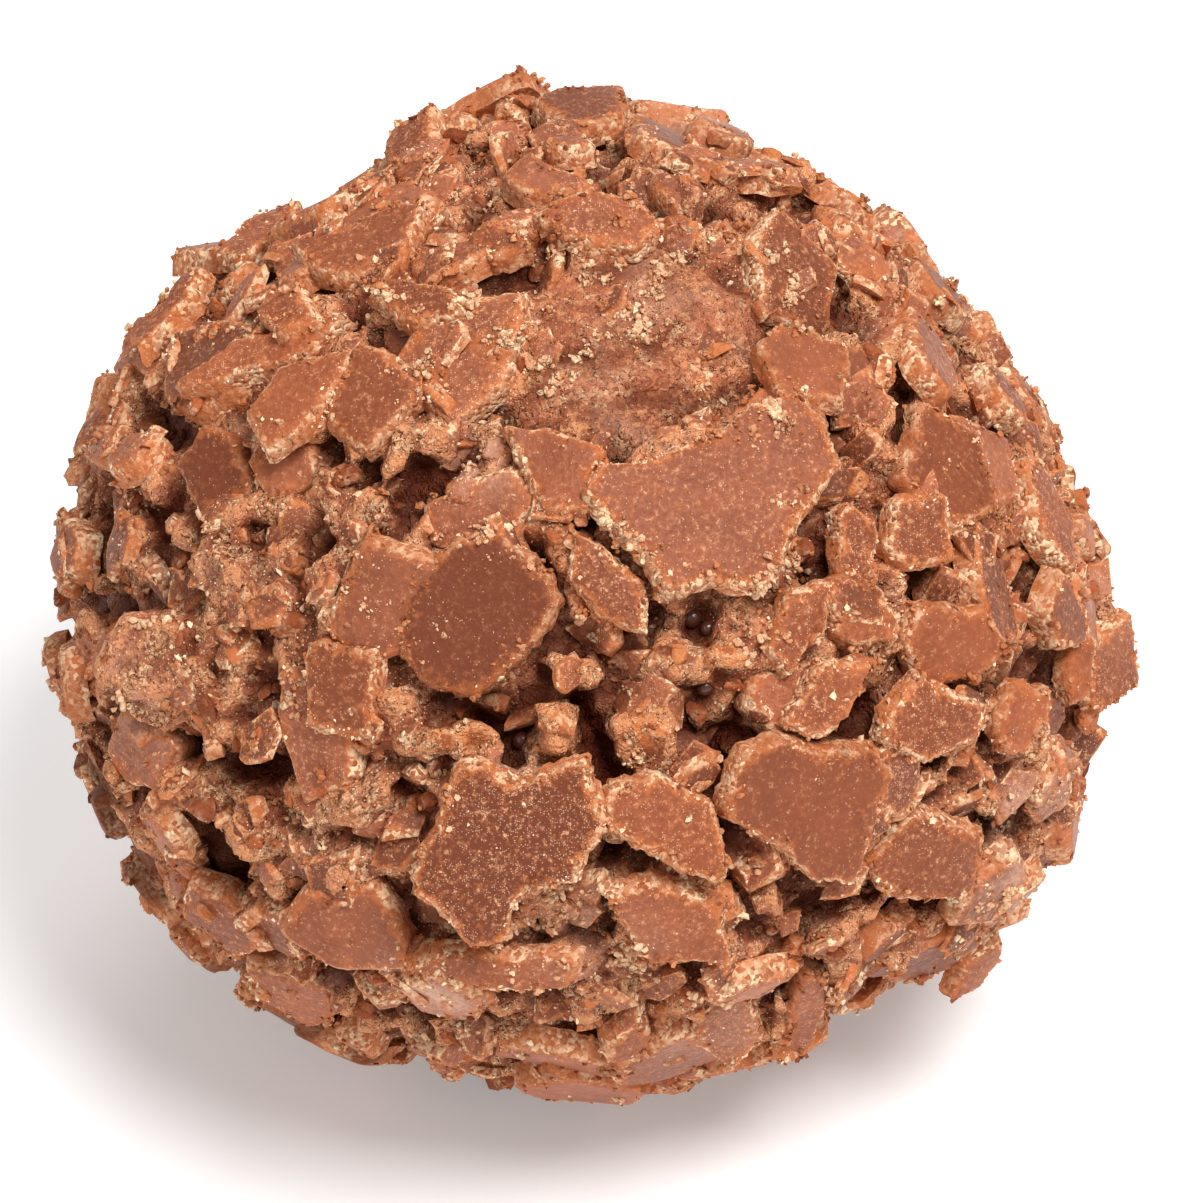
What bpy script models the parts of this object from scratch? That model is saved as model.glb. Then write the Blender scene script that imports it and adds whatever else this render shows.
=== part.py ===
"""A milk chocolate truffle rolled in broken chocolate flakes.

The body is a lumpy ball with a small flat foot. Flakes lie on it like roof
slates, flat, broken and overlapping, with softer nuggets pressed in between.
Everything is fused into one solid, because the real flakes are set in the coat.

Frame: metres, +Z up, the origin on the floor in the middle of the truffle.
The show face is the side with the largest flakes. It looks towards -Y and up.
Its flakes are laid out on a plan: x to the right, y down, in plan units.
"""

import math
import random

import bmesh
import bpy
from mathutils import Matrix, Vector

# Driving sizes, in metres
TRUFFLE_WIDTH = 0.0302
BODY_RADIUS = 0.01345  # the coat, without its flakes
BODY_HEIGHT_SHARE = 0.97  # the ball has sunk a little under its own weight
FLAKE_THICKNESS = 0.00075
FOOT_DROP = 0.0125  # from the ball's middle down to the floor
FLOOR_BLOCK = 0.05  # side of the block that cuts the foot flat

# The plan of the show face
PLAN_WIDTH = 1101  # plan units across the whole truffle
PLAN_UNIT = TRUFFLE_WIDTH / PLAN_WIDTH
PLAN_CENTRE = (583, 606)
PLAN_DISTANCE = 0.275  # the plan is drawn as seen from this far off
SHOW_TILT = math.radians(40)  # how far the show face looks up

OUT = Vector((0, -math.cos(SHOW_TILT), math.sin(SHOW_TILT)))
RIGHT = Vector((1, 0, 0))
UP = Vector((0, math.sin(SHOW_TILT), math.cos(SHOW_TILT)))
CENTRE = Vector((0, 0, FOOT_DROP))

# Broad swellings of the ball: (turn round the show face in degrees from its
# right, lean towards the viewer in degrees, height in metres, spread in degrees)
SWELLINGS = [
    (-10, 5, 0.0007, 22),
    (-38, 5, 0.0006, 20),
    (40, 0, -0.0004, 24),
    (104, 0, 0.0005, 14),
    (122, 0, -0.0013, 12),
    (158, 0, 0.0006, 26),
    (208, 5, 0.0008, 30),
    (242, 5, -0.0005, 14),
    (272, 20, -0.0004, 24),
    (302, 0, -0.0007, 16),
    (250, 55, 0.0006, 26),
    (70, 60, -0.0003, 24),
]

# Large flakes laid out one by one on the plan: outline corners in plan units, how
# the flake leans (to the right, upwards, towards the viewer), and how far its face
# stands off the coat, in flake thicknesses.
LARGE_FLAKES = {
    "saddle": (
        [(585, 487), (602, 463), (655, 457), (727, 425), (800, 389), (844, 461),
         (807, 512), (764, 592), (713, 580), (671, 592), (620, 527)],
        (0.02, 0.05, 0.30), 1.5),
    "wedge": (
        [(502, 424), (560, 429), (608, 450), (586, 500), (541, 509), (522, 462)],
        (-0.05, 0.05, 0.20), 1.15),
    "smooth_panel": (
        [(400, 606), (436, 549), (500, 536), (552, 600), (520, 660), (468, 690), (405, 662)],
        (0.00, -0.15, 0.10), 0.75),
    "square_tile": (
        [(304, 646), (340, 641), (377, 654), (370, 742), (308, 728)],
        (0.05, -0.05, 0.25), 1.05),
    "raised_blade": (
        [(243, 412), (264, 384), (288, 357), (351, 349), (325, 400), (266, 450)],
        (0.05, 0.25, 0.35), 1.45),
    "dark_tile": (
        [(354, 349), (425, 364), (420, 402), (385, 430), (362, 456), (325, 410)],
        (0.05, -0.05, 0.20), 1.0),
    "upper_left_sheet": (
        [(285, 262), (335, 228), (400, 197), (424, 202), (402, 265), (330, 274)],
        (0.05, 0.00, 0.25), 1.05),
    "glossy_sheet": (
        [(728, 810), (746, 765), (792, 738), (850, 752), (897, 778), (880, 832), (864, 889),
         (828, 884), (784, 848)],
        (0.05, -0.05, 0.20), 1.1),
    "sloping_ledge": (
        [(617, 786), (650, 771), (706, 790), (723, 832), (738, 880), (700, 862), (670, 822)],
        (0.15, 0.25, 0.20), 1.5),
    "low_sheet": (
        [(441, 800), (458, 768), (572, 776), (608, 828), (574, 868), (520, 905), (488, 948),
         (412, 882)],
        (-0.05, 0.05, 0.30), 1.45),
}

# Smaller flakes on the plan, each broken by a rule: (x, y, length, width, turn in
# degrees clockwise, lean as above, stand-off as above)
SMALL_FLAKES = {
    "tucked_slab": (608, 580, 122, 70, 55, (-0.10, -0.05, 0.20), 0.95),
    "left_panel": (213, 468, 120, 76, 75, (0.15, -0.05, 0.20), 0.55),
    "small_tooth": (288, 306, 68, 52, -20, (0.00, 0.10, 0.20), 1.2),
    "long_step": (258, 352, 176, 44, -22, (0.10, 0.10, 0.25), 0.9),
    "upper_left_tile": (418, 296, 104, 54, 12, (0.00, 0.00, 0.15), 1.1),
    "upper_scale": (500, 238, 80, 38, 5, (0.00, -0.10, 0.10), 0.95),
    "upper_crown": (606, 216, 134, 64, 5, (0.00, -0.20, 0.20), 1.25),
    "round_flake": (807, 358, 116, 86, 25, (-0.10, 0.15, 0.20), 1.25),
    "right_sheet": (948, 462, 156, 106, 40, (-0.10, 0.05, 0.30), 0.95),
    "right_scale": (923, 530, 90, 84, 20, (-0.10, -0.05, 0.30), 1.3),
    "right_under": (862, 550, 98, 60, 85, (0.00, 0.00, 0.15), 0.7),
    "right_tooth": (806, 622, 112, 62, -60, (-0.05, 0.00, 0.20), 1.1),
    "right_block": (873, 626, 70, 56, -5, (0.00, -0.05, 0.20), 1.0),
    "right_oval": (829, 696, 104, 62, -48, (-0.10, 0.00, 0.25), 1.35),
    "right_ramp": (957, 643, 112, 90, -35, (-0.15, -0.10, 0.30), 1.0),
    "right_disc": (937, 726, 108, 96, 0, (-0.05, 0.00, 0.30), 1.4),
    "low_shelf": (672, 926, 136, 104, 10, (0.00, -0.05, 0.25), 1.25),
    "low_crust": (500, 972, 196, 46, 3, (0.00, 0.15, 0.30), 1.2),
    "low_right_sheet": (932, 860, 124, 112, -60, (-0.15, 0.00, 0.30), 1.0),
    "right_tile": (1029, 714, 88, 56, -70, (-0.20, 0.00, 0.40), 1.1),
    "right_wing": (1116, 668, 112, 56, 108, (0.00, 0.00, 0.90), 1.6),
    "right_fin": (1084, 664, 100, 32, 90, (-0.20, 0.00, 0.60), 1.4),
    "edge_blade": (168, 305, 108, 26, -50, (0.00, 0.20, 0.60), 2.2),
    "edge_sheet": (256, 232, 114, 36, -30, (0.00, 0.10, 0.60), 1.7),
    "horn": (408, 138, 84, 48, -60, (0.00, 0.10, 0.70), 2.0),
    "hanging_blade": (808, 1016, 106, 38, -68, (0.00, -0.10, 0.60), 1.6),
    "heel_blade": (976, 974, 86, 36, -45, (0.00, 0.00, 0.70), 1.9),
    "heel_sheet": (728, 1030, 102, 66, -50, (0.00, 0.10, 0.50), 1.2),
}

# Rounded nuggets laid out on the plan: (x, y, length, width, turn in degrees,
# height off the coat as a share of the width)
SHOWN_NUGGETS = [
    (465, 737, 84, 42, 18, 0.55),
    (551, 712, 48, 46, 0, 0.55),
    (553, 750, 44, 38, 0, 0.50),
    (425, 778, 26, 26, 0, 0.40),
    (398, 716, 40, 58, 10, 0.45),
    (160, 676, 140, 116, -15, 0.40),
    (235, 585, 104, 80, 5, 0.38),
    (270, 738, 64, 44, -35, 0.50),
    (340, 595, 96, 64, 42, 0.42),
    (325, 480, 54, 52, 5, 0.42),
    (372, 518, 62, 56, 20, 0.38),
    (447, 432, 78, 54, -5, 0.40),
    (488, 486, 60, 36, 5, 0.40),
    (568, 668, 76, 34, 8, 0.45),
    (660, 672, 44, 76, 15, 0.42),
    (722, 656, 82, 48, 18, 0.40),
    (640, 730, 90, 36, -8, 0.38),
    (700, 772, 54, 40, -20, 0.40),
    (602, 872, 30, 56, 15, 0.45),
    (128, 765, 44, 60, 5, 0.50),
    (165, 780, 36, 66, 0, 0.50),
    (260, 835, 90, 70, -30, 0.36),
    (362, 800, 62, 66, 0, 0.40),
    (350, 880, 84, 66, -15, 0.38),
    (515, 90, 60, 44, 0, 0.45),
    (490, 135, 80, 44, -10, 0.42),
    (440, 190, 50, 40, 20, 0.48),
    (535, 160, 50, 34, -20, 0.45),
    (640, 160, 70, 34, -5, 0.42),
    (716, 178, 84, 40, -24, 0.45),
    (820, 250, 84, 48, -20, 0.36),
    (868, 288, 60, 40, -30, 0.48),
    (884, 345, 40, 72, 20, 0.42),
    (1104, 520, 52, 56, 0, 0.50),
    (1076, 560, 46, 36, -35, 0.50),
    (1016, 615, 30, 62, 5, 0.42),
    (1055, 430, 60, 60, 0, 0.36),
    (905, 797, 36, 36, 20, 0.45),
    (892, 955, 44, 56, -10, 0.45),
    (840, 928, 76, 46, 20, 0.42),
    (985, 795, 50, 74, 20, 0.40),
    (780, 1000, 26, 30, 0, 0.45),
    (512, 364, 76, 26, -18, 0.50),
    (524, 333, 38, 34, 0, 0.50),
    (418, 346, 28, 30, 0, 0.50),
    (435, 386, 30, 26, 0, 0.50),
    (476, 306, 46, 20, 10, 0.50),
]

# The rest is scattered by a rule
SCATTER = {
    "seed": 12,
    "loose_seed": 16,
    "flakes": 230,
    "nuggets": 30,
    "length": (0.0018, 0.0046),
    "width_share": (0.6, 0.95),
    "corners": (5, 5, 6),
    "tilt": 0.28,
    "stand_off": (0.15, 1.0),
    "nugget_size": (0.0011, 0.0023),
    "foot_clearance": 0.62,  # no loose flake on the underside nearer the foot than this
}
# Where no loose flake lies, each by plan centre and radius: the smooth bare patch first, then
# stretches of rubble, then the holes between the flakes
KEPT_CLEAR = [
    (668, 320, 96),
    (188, 650, 95), (250, 565, 60), (165, 560, 60), (215, 790, 60), (270, 860, 75),
    (360, 800, 50), (345, 870, 50), (560, 700, 60), (660, 700, 60), (400, 470, 60),
    (515, 742, 32), (598, 752, 24), (567, 625, 18), (734, 742, 19), (633, 853, 14),
    (320, 432, 20), (866, 715, 17), (807, 567, 17), (994, 600, 12), (210, 885, 19),
    (302, 915, 14), (218, 778, 31), (702, 624, 26), (100, 565, 19), (712, 690, 17),
    (140, 728, 18), (172, 744, 18), (258, 772, 20), (300, 764, 17), (345, 756, 16),
    (402, 762, 17), (951, 786, 16),
]

MILK_CHOCOLATE = (0.36, 0.135, 0.065, 1.0)


def direction_on_show_face(turn, lean):
    """A direction from the middle of the ball, by its turn round the show face."""
    turn, lean = math.radians(turn), math.radians(lean)
    across = RIGHT * math.cos(turn) + UP * math.sin(turn)
    return across * math.cos(lean) + OUT * math.sin(lean)


LUMPS = [
    (direction_on_show_face(turn, lean), height, math.radians(spread))
    for turn, lean, height, spread in SWELLINGS
]


def coat_radius(direction):
    """How far the coat reaches from the ball's middle in a direction."""
    squash = math.hypot(direction.x, direction.y, direction.z / BODY_HEIGHT_SHARE)
    reach = BODY_RADIUS / squash
    for towards, height, spread in LUMPS:
        angle = direction.angle(towards)
        reach += height * math.exp(-((angle / spread) ** 2))
    return reach


def coat_normal(direction):
    """The coat's outward normal, from two short steps along it."""
    side = direction.orthogonal().normalized()
    other = direction.cross(side)
    step = 0.08
    points = []
    for offset in (side, other, -side, -other):
        away = (direction + offset * step).normalized()
        points.append(away * coat_radius(away))
    return (points[0] - points[2]).cross(points[1] - points[3]).normalized()


def sight_line(x, y):
    """The eye and the direction in which it sees a plan point."""
    eye = OUT * PLAN_DISTANCE
    across = (x - PLAN_CENTRE[0]) * PLAN_UNIT
    upwards = (PLAN_CENTRE[1] - y) * PLAN_UNIT
    return eye, (RIGHT * across + UP * upwards - eye).normalized()


def coat_direction(x, y):
    """The direction, from the ball's middle, of the coat behind a plan point."""
    eye, sight = sight_line(x, y)
    nearest = eye - sight * eye.dot(sight)
    reach = BODY_RADIUS
    for _ in range(6):
        depth = math.sqrt(max(reach**2 - nearest.length_squared, 0.0))
        direction = (nearest - sight * depth).normalized()
        reach = coat_radius(direction)
    return direction


def plan_outline(corners, lean, stand_off):
    """The plan corners carried onto a flake's own plane, and that plane's normal."""
    middle_x = sum(x for x, _ in corners) / len(corners)
    middle_y = sum(y for _, y in corners) / len(corners)
    direction = coat_direction(middle_x, middle_y)
    normal = coat_normal(direction)
    normal = (normal + RIGHT * lean[0] + UP * lean[1] + OUT * lean[2]).normalized()
    anchor = direction * coat_radius(direction) + normal * stand_off * FLAKE_THICKNESS
    points = []
    for x, y in corners:
        eye, sight = sight_line(x, y)
        along = (anchor - eye).dot(normal) / sight.dot(normal)
        points.append(eye + sight * along)
    return points, normal


def broken_outline(rng, length, width, corners):
    """Corners of a broken flake: a stretched polygon with uneven corners."""
    points = []
    start = rng.uniform(0, math.tau)
    for k in range(corners):
        turn = start + math.tau * (k + rng.uniform(-0.28, 0.28)) / corners
        reach = rng.uniform(0.82, 1.12)
        points.append((math.cos(turn) * length / 2 * reach, math.sin(turn) * width / 2 * reach))
    return points


def new_object(name, mesh_builder, collection):
    """An object in a collection, from a bmesh, with its faces pointing out."""
    bmesh.ops.recalc_face_normals(mesh_builder, faces=mesh_builder.faces)
    mesh = bpy.data.meshes.new(name)
    mesh_builder.to_mesh(mesh)
    mesh_builder.free()
    obj = bpy.data.objects.new(name, mesh)
    collection.objects.link(obj)
    return obj


def flake(name, outline, normal, collection):
    """A flat plate: a capped circle moved to the outline, then extruded downwards.

    Its face is a little smaller than its back, as a broken edge slopes outwards.
    """
    slope = 0.93
    plate = bmesh.new()
    made = bmesh.ops.create_circle(plate, cap_ends=True, segments=len(outline), radius=1)
    ordered = sorted(made["verts"], key=lambda v: math.atan2(v.co.y, v.co.x))
    middle = sum(outline, Vector()) / len(outline)
    for vertex, corner in zip(ordered, outline, strict=True):
        vertex.co = CENTRE + middle + (corner - middle) * slope
    grown = bmesh.ops.extrude_face_region(plate, geom=plate.faces[:])
    back = [v for v in grown["geom"] if isinstance(v, bmesh.types.BMVert)]
    bmesh.ops.translate(plate, verts=back, vec=-normal * FLAKE_THICKNESS)
    for vertex in back:
        vertex.co = CENTRE + middle + (vertex.co - CENTRE - middle) / slope
    return new_object(name, plate, collection)


def nugget(name, direction, size, turn, height_share, rng, collection):
    """A rounded crumb of chocolate: a coarse ball, dented, set into the coat."""
    ball = bmesh.new()
    bmesh.ops.create_icosphere(ball, subdivisions=1, radius=0.5)
    for vertex in ball.verts:
        vertex.co *= rng.uniform(0.86, 1.12)
    normal = coat_normal(direction)
    across = (RIGHT - normal * RIGHT.dot(normal)).normalized()
    upwards = normal.cross(across)
    length, width = size
    height = 1.1 * min(length, width)
    axes = Matrix((across, upwards, normal)).transposed().to_4x4()
    seat = direction * coat_radius(direction) + normal * (height_share - 0.5) * height
    place = (
        Matrix.Translation(CENTRE + seat)
        @ axes
        @ Matrix.Rotation(turn, 4, "Z")
        @ Matrix.Diagonal((length, width, height, 1))
    )
    bmesh.ops.transform(ball, matrix=place, verts=ball.verts)
    return new_object(name, ball, collection)


def coat(collection):
    """The ball itself, from a sphere moved out to the coat's radius."""
    ball = bmesh.new()
    bmesh.ops.create_icosphere(ball, subdivisions=3, radius=1)
    for vertex in ball.verts:
        direction = vertex.co.normalized()
        vertex.co = CENTRE + direction * coat_radius(direction)
    return new_object("truffle", ball, collection)


def plan_corners(name, row):
    """A small flake's outline on the plan, broken by a rule seeded with its name."""
    x, y, length, width, turn, _, _ = row
    rng = random.Random(f"{SCATTER['seed']} {name}")
    cosine, sine = math.cos(math.radians(turn)), math.sin(math.radians(turn))
    shape = broken_outline(rng, length, width, rng.choice(SCATTER["corners"]))
    return [(x + u * cosine - v * sine, y + u * sine + v * cosine) for u, v in shape]


def lay_shown_pieces(collection):
    """The flakes and nuggets of the plan. It returns where they are, as directions."""
    rng = random.Random(SCATTER["seed"])
    flakes = dict(LARGE_FLAKES)
    for name, row in SMALL_FLAKES.items():
        flakes[name] = (plan_corners(name, row), *row[5:])
    taken = []
    for name, (corners, lean, stand_off) in flakes.items():
        outline, normal = plan_outline(corners, lean, stand_off)
        flake(name, outline, normal, collection)
        middle = sum(outline, Vector()) / len(outline)
        reach = sum((corner - middle).length for corner in outline) / len(outline)
        taken.append((middle.normalized(), reach * (1.0 if name in LARGE_FLAKES else 0.62)))
    for k, (x, y, length, width, turn, share) in enumerate(SHOWN_NUGGETS):
        direction = coat_direction(x, y)
        size = (length * PLAN_UNIT, width * PLAN_UNIT)
        nugget(f"nugget_{k}", direction, size, math.radians(turn), share, rng, collection)
        taken.append((direction, max(size) * 0.30))
    for x, y, radius in KEPT_CLEAR:
        taken.append((coat_direction(x, y), radius * PLAN_UNIT))
    return taken


def spiral_direction(k, count, rng):
    """The k-th of count directions spread evenly over a ball, then nudged."""
    golden = math.pi * (3 - math.sqrt(5))
    height = 1 - 2 * (k + 0.5) / count
    ring = math.sqrt(1 - height**2)
    nudge = Vector([rng.uniform(-0.06, 0.06) for _ in range(3)])
    even = Vector((ring * math.cos(golden * k), ring * math.sin(golden * k), height))
    return (even + nudge).normalized()


def is_free(direction, taken):
    """Whether a spot is clear of the pieces laid before, and not under the foot."""
    if direction.z < 0 and Vector(direction.xy).length < SCATTER["foot_clearance"]:
        return False
    return all(
        direction.angle(other) * BODY_RADIUS > reach for other, reach in taken
    )


def scatter_pieces(taken, collection):
    """Flakes and nuggets over what is left, by a rule."""
    rng = random.Random(SCATTER["loose_seed"])
    for k in range(SCATTER["flakes"]):
        direction = spiral_direction(k, SCATTER["flakes"], rng)
        length = rng.uniform(*SCATTER["length"])
        width = length * rng.uniform(*SCATTER["width_share"])
        shape = broken_outline(rng, length, width, rng.choice(SCATTER["corners"]))
        turn = rng.uniform(0, math.tau)
        lean = Vector([rng.uniform(-1, 1) * SCATTER["tilt"] for _ in range(3)])
        stand_off = rng.uniform(*SCATTER["stand_off"])
        if not is_free(direction, taken):
            continue
        normal = (coat_normal(direction) + lean).normalized()
        side = normal.orthogonal().normalized()
        across = side * math.cos(turn) + normal.cross(side) * math.sin(turn)
        upwards = normal.cross(across)
        anchor = direction * coat_radius(direction) + normal * stand_off * FLAKE_THICKNESS
        outline = [anchor + across * x + upwards * y for x, y in shape]
        flake(f"loose_flake_{k}", outline, normal, collection)
    for k in range(SCATTER["nuggets"]):
        direction = spiral_direction(k, SCATTER["nuggets"], rng)
        size = [rng.uniform(*SCATTER["nugget_size"]) for _ in range(2)]
        turn = rng.uniform(0, math.tau)
        share = rng.uniform(0.35, 0.6)
        if is_free(direction, taken):
            nugget(f"loose_nugget_{k}", direction, size, turn, share, rng, collection)


def apply_boolean(obj, operation, **target):
    """Adds a Boolean to an object and applies it."""
    cut = obj.modifiers.new(operation.lower(), "BOOLEAN")
    cut.operation = operation
    cut.solver = "MANIFOLD"
    for key, value in target.items():
        setattr(cut, key, value)
    bpy.context.view_layer.objects.active = obj
    bpy.ops.object.modifier_apply(modifier=cut.name)


def floor_block(collection):
    """The block under the floor that cuts the foot flat."""
    block = bmesh.new()
    bmesh.ops.create_cube(block, size=FLOOR_BLOCK)
    bmesh.ops.translate(block, verts=block.verts, vec=(0, 0, -FLOOR_BLOCK / 2))
    return new_object("floor_block", block, collection)


def keep_outer_skin(obj):
    """Drops the skins of hollows that fusing sealed, and any loose scrap."""
    skin = bmesh.new()
    skin.from_mesh(obj.data)
    shells, unseen = [], set(skin.verts)
    while unseen:
        shell, front = set(), [unseen.pop()]
        while front:
            vertex = front.pop()
            shell.add(vertex)
            for edge in vertex.link_edges:
                other = edge.other_vert(vertex)
                if other in unseen:
                    unseen.discard(other)
                    front.append(other)
        shells.append(shell)
    largest = max(shells, key=len)
    stray = [v for v in skin.verts if v not in largest]
    bmesh.ops.delete(skin, geom=stray, context="VERTS")
    skin.to_mesh(obj.data)
    skin.free()


def milk_chocolate():
    """The coat's and the flakes' own colour, satin and not metallic."""
    material = bpy.data.materials.new("milk_chocolate")
    material.use_nodes = True
    shader = material.node_tree.nodes["Principled BSDF"]
    shader.inputs["Base Color"].default_value = MILK_CHOCOLATE
    shader.inputs["Roughness"].default_value = 0.55
    shader.inputs["Metallic"].default_value = 0.0
    return material


def clear_scene():
    """An empty scene to build in."""
    for obj in list(bpy.data.objects):
        bpy.data.objects.remove(obj, do_unlink=True)


def main():
    """Builds the truffle: the coat, its pieces, the union, and the flat foot."""
    clear_scene()
    shown = bpy.data.collections.new("truffle")
    pieces = bpy.data.collections.new("pieces")
    cutters = bpy.data.collections.new("cutters")
    for collection in (shown, pieces, cutters):
        bpy.context.scene.collection.children.link(collection)
    truffle = coat(shown)
    taken = lay_shown_pieces(pieces)
    scatter_pieces(taken, pieces)
    apply_boolean(truffle, "UNION", operand_type="COLLECTION", collection=pieces)
    apply_boolean(truffle, "DIFFERENCE", object=floor_block(cutters))
    for collection in (pieces, cutters):
        for obj in list(collection.objects):
            bpy.data.objects.remove(obj, do_unlink=True)
        bpy.data.collections.remove(collection)
    keep_outer_skin(truffle)
    truffle.data.materials.append(milk_chocolate())


main()
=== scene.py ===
import math
import random

import bpy
import numpy as np
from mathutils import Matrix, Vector, noise
from mathutils.bvhtree import BVHTree


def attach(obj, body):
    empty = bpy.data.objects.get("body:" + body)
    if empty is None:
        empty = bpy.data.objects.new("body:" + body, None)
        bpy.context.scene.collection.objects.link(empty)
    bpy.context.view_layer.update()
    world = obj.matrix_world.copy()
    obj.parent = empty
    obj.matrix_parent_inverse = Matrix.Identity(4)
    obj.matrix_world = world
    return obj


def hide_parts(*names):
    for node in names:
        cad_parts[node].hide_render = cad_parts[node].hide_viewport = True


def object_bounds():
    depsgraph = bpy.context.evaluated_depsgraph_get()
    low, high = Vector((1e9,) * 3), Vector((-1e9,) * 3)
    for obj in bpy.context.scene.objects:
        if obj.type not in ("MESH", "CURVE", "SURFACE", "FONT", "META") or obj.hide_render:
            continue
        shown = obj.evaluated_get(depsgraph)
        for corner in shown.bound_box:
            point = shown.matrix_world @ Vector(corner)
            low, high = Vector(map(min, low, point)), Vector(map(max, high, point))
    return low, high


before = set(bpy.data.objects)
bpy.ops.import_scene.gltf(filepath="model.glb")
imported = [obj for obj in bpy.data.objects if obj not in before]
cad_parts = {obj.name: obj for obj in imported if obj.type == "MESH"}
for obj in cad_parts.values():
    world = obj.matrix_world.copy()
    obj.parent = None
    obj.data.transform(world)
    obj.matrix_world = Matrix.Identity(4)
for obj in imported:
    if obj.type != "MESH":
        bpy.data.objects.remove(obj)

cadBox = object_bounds()
mm = 0.001

# the ball under the flakes
ball = {
    "radius": 13.45 * mm,
    "heightShare": 0.97,  # it has sunk a little
    "footDrop": 12.5 * mm,  # from its middle down to the floor
    "swellings": [  # turn round the show face, lean to the viewer, height, spread
        (-10, 5, 0.7, 22), (-38, 5, 0.6, 20), (40, 0, -0.4, 24), (104, 0, 0.5, 14),
        (122, 0, -1.3, 12), (158, 0, 0.6, 26), (208, 5, 0.8, 30), (242, 5, -0.5, 14),
        (272, 20, -0.4, 24), (302, 0, -0.7, 16), (250, 55, 0.6, 26), (70, 60, -0.3, 24),
    ],
}

# the plan of the show face: x to the right and y down, in plan units
plan = {
    "unit": 30.2 * mm / 1101,
    "centre": (583, 606),
    "distance": 275 * mm,
    "tilt": math.radians(40),  # how far the show face looks up
}
outwards = Vector((0, -math.cos(plan["tilt"]), math.sin(plan["tilt"])))
rightwards = Vector((1, 0, 0))
upwards = Vector((0, math.sin(plan["tilt"]), math.cos(plan["tilt"])))
middle = Vector((0, 0, ball["footDrop"]))


def showDirection(turn, lean):
    turn, lean = math.radians(turn), math.radians(lean)
    across = rightwards * math.cos(turn) + upwards * math.sin(turn)
    return across * math.cos(lean) + outwards * math.sin(lean)


lumps = [(showDirection(turn, lean), height * mm, math.radians(spread))
         for turn, lean, height, spread in ball["swellings"]]


def coatRadius(direction):
    squash = math.hypot(direction.x, direction.y, direction.z / ball["heightShare"])
    reach = ball["radius"] / squash
    for towards, height, spread in lumps:
        reach += height * math.exp(-((direction.angle(towards) / spread) ** 2))
    return reach


def anglesTo(place, directions):  # from one place to each direction of an array
    return np.arccos(np.clip(directions @ np.array(place), -1, 1))


def coatRadii(directions):  # the coat's radius for an array of unit vectors
    squash = np.sqrt(directions[:, 0] ** 2 + directions[:, 1] ** 2
                     + (directions[:, 2] / ball["heightShare"]) ** 2)
    reach = ball["radius"] / squash
    for towards, height, spread in lumps:
        reach += height * np.exp(-((anglesTo(towards, directions) / spread) ** 2))
    return reach


def coatNormal(direction):
    side = direction.orthogonal().normalized()
    other = direction.cross(side)
    points = []
    for offset in (side, other, -side, -other):
        away = (direction + offset * 0.08).normalized()
        points.append(away * coatRadius(away))
    return (points[0] - points[2]).cross(points[1] - points[3]).normalized()


def sightLine(x, y):
    eye = outwards * plan["distance"]
    across = (x - plan["centre"][0]) * plan["unit"]
    up = (plan["centre"][1] - y) * plan["unit"]
    return eye, (rightwards * across + upwards * up - eye).normalized()


def coatDirection(x, y):
    eye, sight = sightLine(x, y)
    nearest = eye - sight * eye.dot(sight)
    reach = ball["radius"]
    for _ in range(6):
        depth = math.sqrt(max(reach**2 - nearest.length_squared, 0.0))
        direction = (nearest - sight * depth).normalized()
        reach = coatRadius(direction)
    return direction


def spots(rows):  # x, y, radius on the plan, as a direction and a reach along the ball
    return [(coatDirection(x, y), radius * plan["unit"]) for x, y, radius in rows]


def deselectAll():
    for obj in bpy.context.selected_objects:
        obj.select_set(False)


def makeActive(obj):
    deselectAll()
    obj.select_set(True)
    bpy.context.view_layer.objects.active = obj


def applyModifier(obj, kind, **settings):
    makeActive(obj)
    modifier = obj.modifiers.new(kind.lower(), kind)
    for key, value in settings.items():
        setattr(modifier, key, value)
    bpy.ops.object.modifier_apply(modifier=modifier.name)


def addLayer(obj, name, values):
    layer = obj.data.attributes.new(name, "FLOAT", "POINT")
    layer.data.foreach_set("value", np.asarray(values, np.float32))


def meshObject(name, vertices, faces, layers=None, smoothAngle=None):
    mesh = bpy.data.meshes.new(name)
    mesh.from_pydata(vertices, [], faces)
    obj = bpy.data.objects.new(name, mesh)
    bpy.context.scene.collection.objects.link(obj)
    for key, values in (layers or {}).items():
        addLayer(obj, key, values)
    makeActive(obj)
    bpy.ops.object.mode_set(mode="EDIT")
    bpy.ops.mesh.select_all(action="SELECT")
    bpy.ops.mesh.normals_make_consistent(inside=False)
    bpy.ops.object.mode_set(mode="OBJECT")
    if smoothAngle is not None:
        bpy.ops.object.shade_smooth_by_angle(angle=math.radians(smoothAngle))
    return obj


def coordinates(obj):
    flat = np.empty(len(obj.data.vertices) * 3)
    obj.data.vertices.foreach_get("co", flat)
    return flat.reshape(-1, 3)


def setCoordinates(obj, points):
    obj.data.vertices.foreach_set("co", points.astype(np.float32).ravel())
    obj.data.update()


def fromMiddle(obj):  # offset, distance and direction of each point from the ball's middle
    points = coordinates(obj) - np.array(middle)
    radius = np.linalg.norm(points, axis=1)
    return points, radius, points / radius[:, None]


def keepInBox(obj):  # nothing shows past the CAD's own box, or under the floor
    low, high = (np.array(corner) for corner in cadBox)
    setCoordinates(obj, np.clip(coordinates(obj), low + 0.01 * mm, high - 0.01 * mm))


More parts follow.
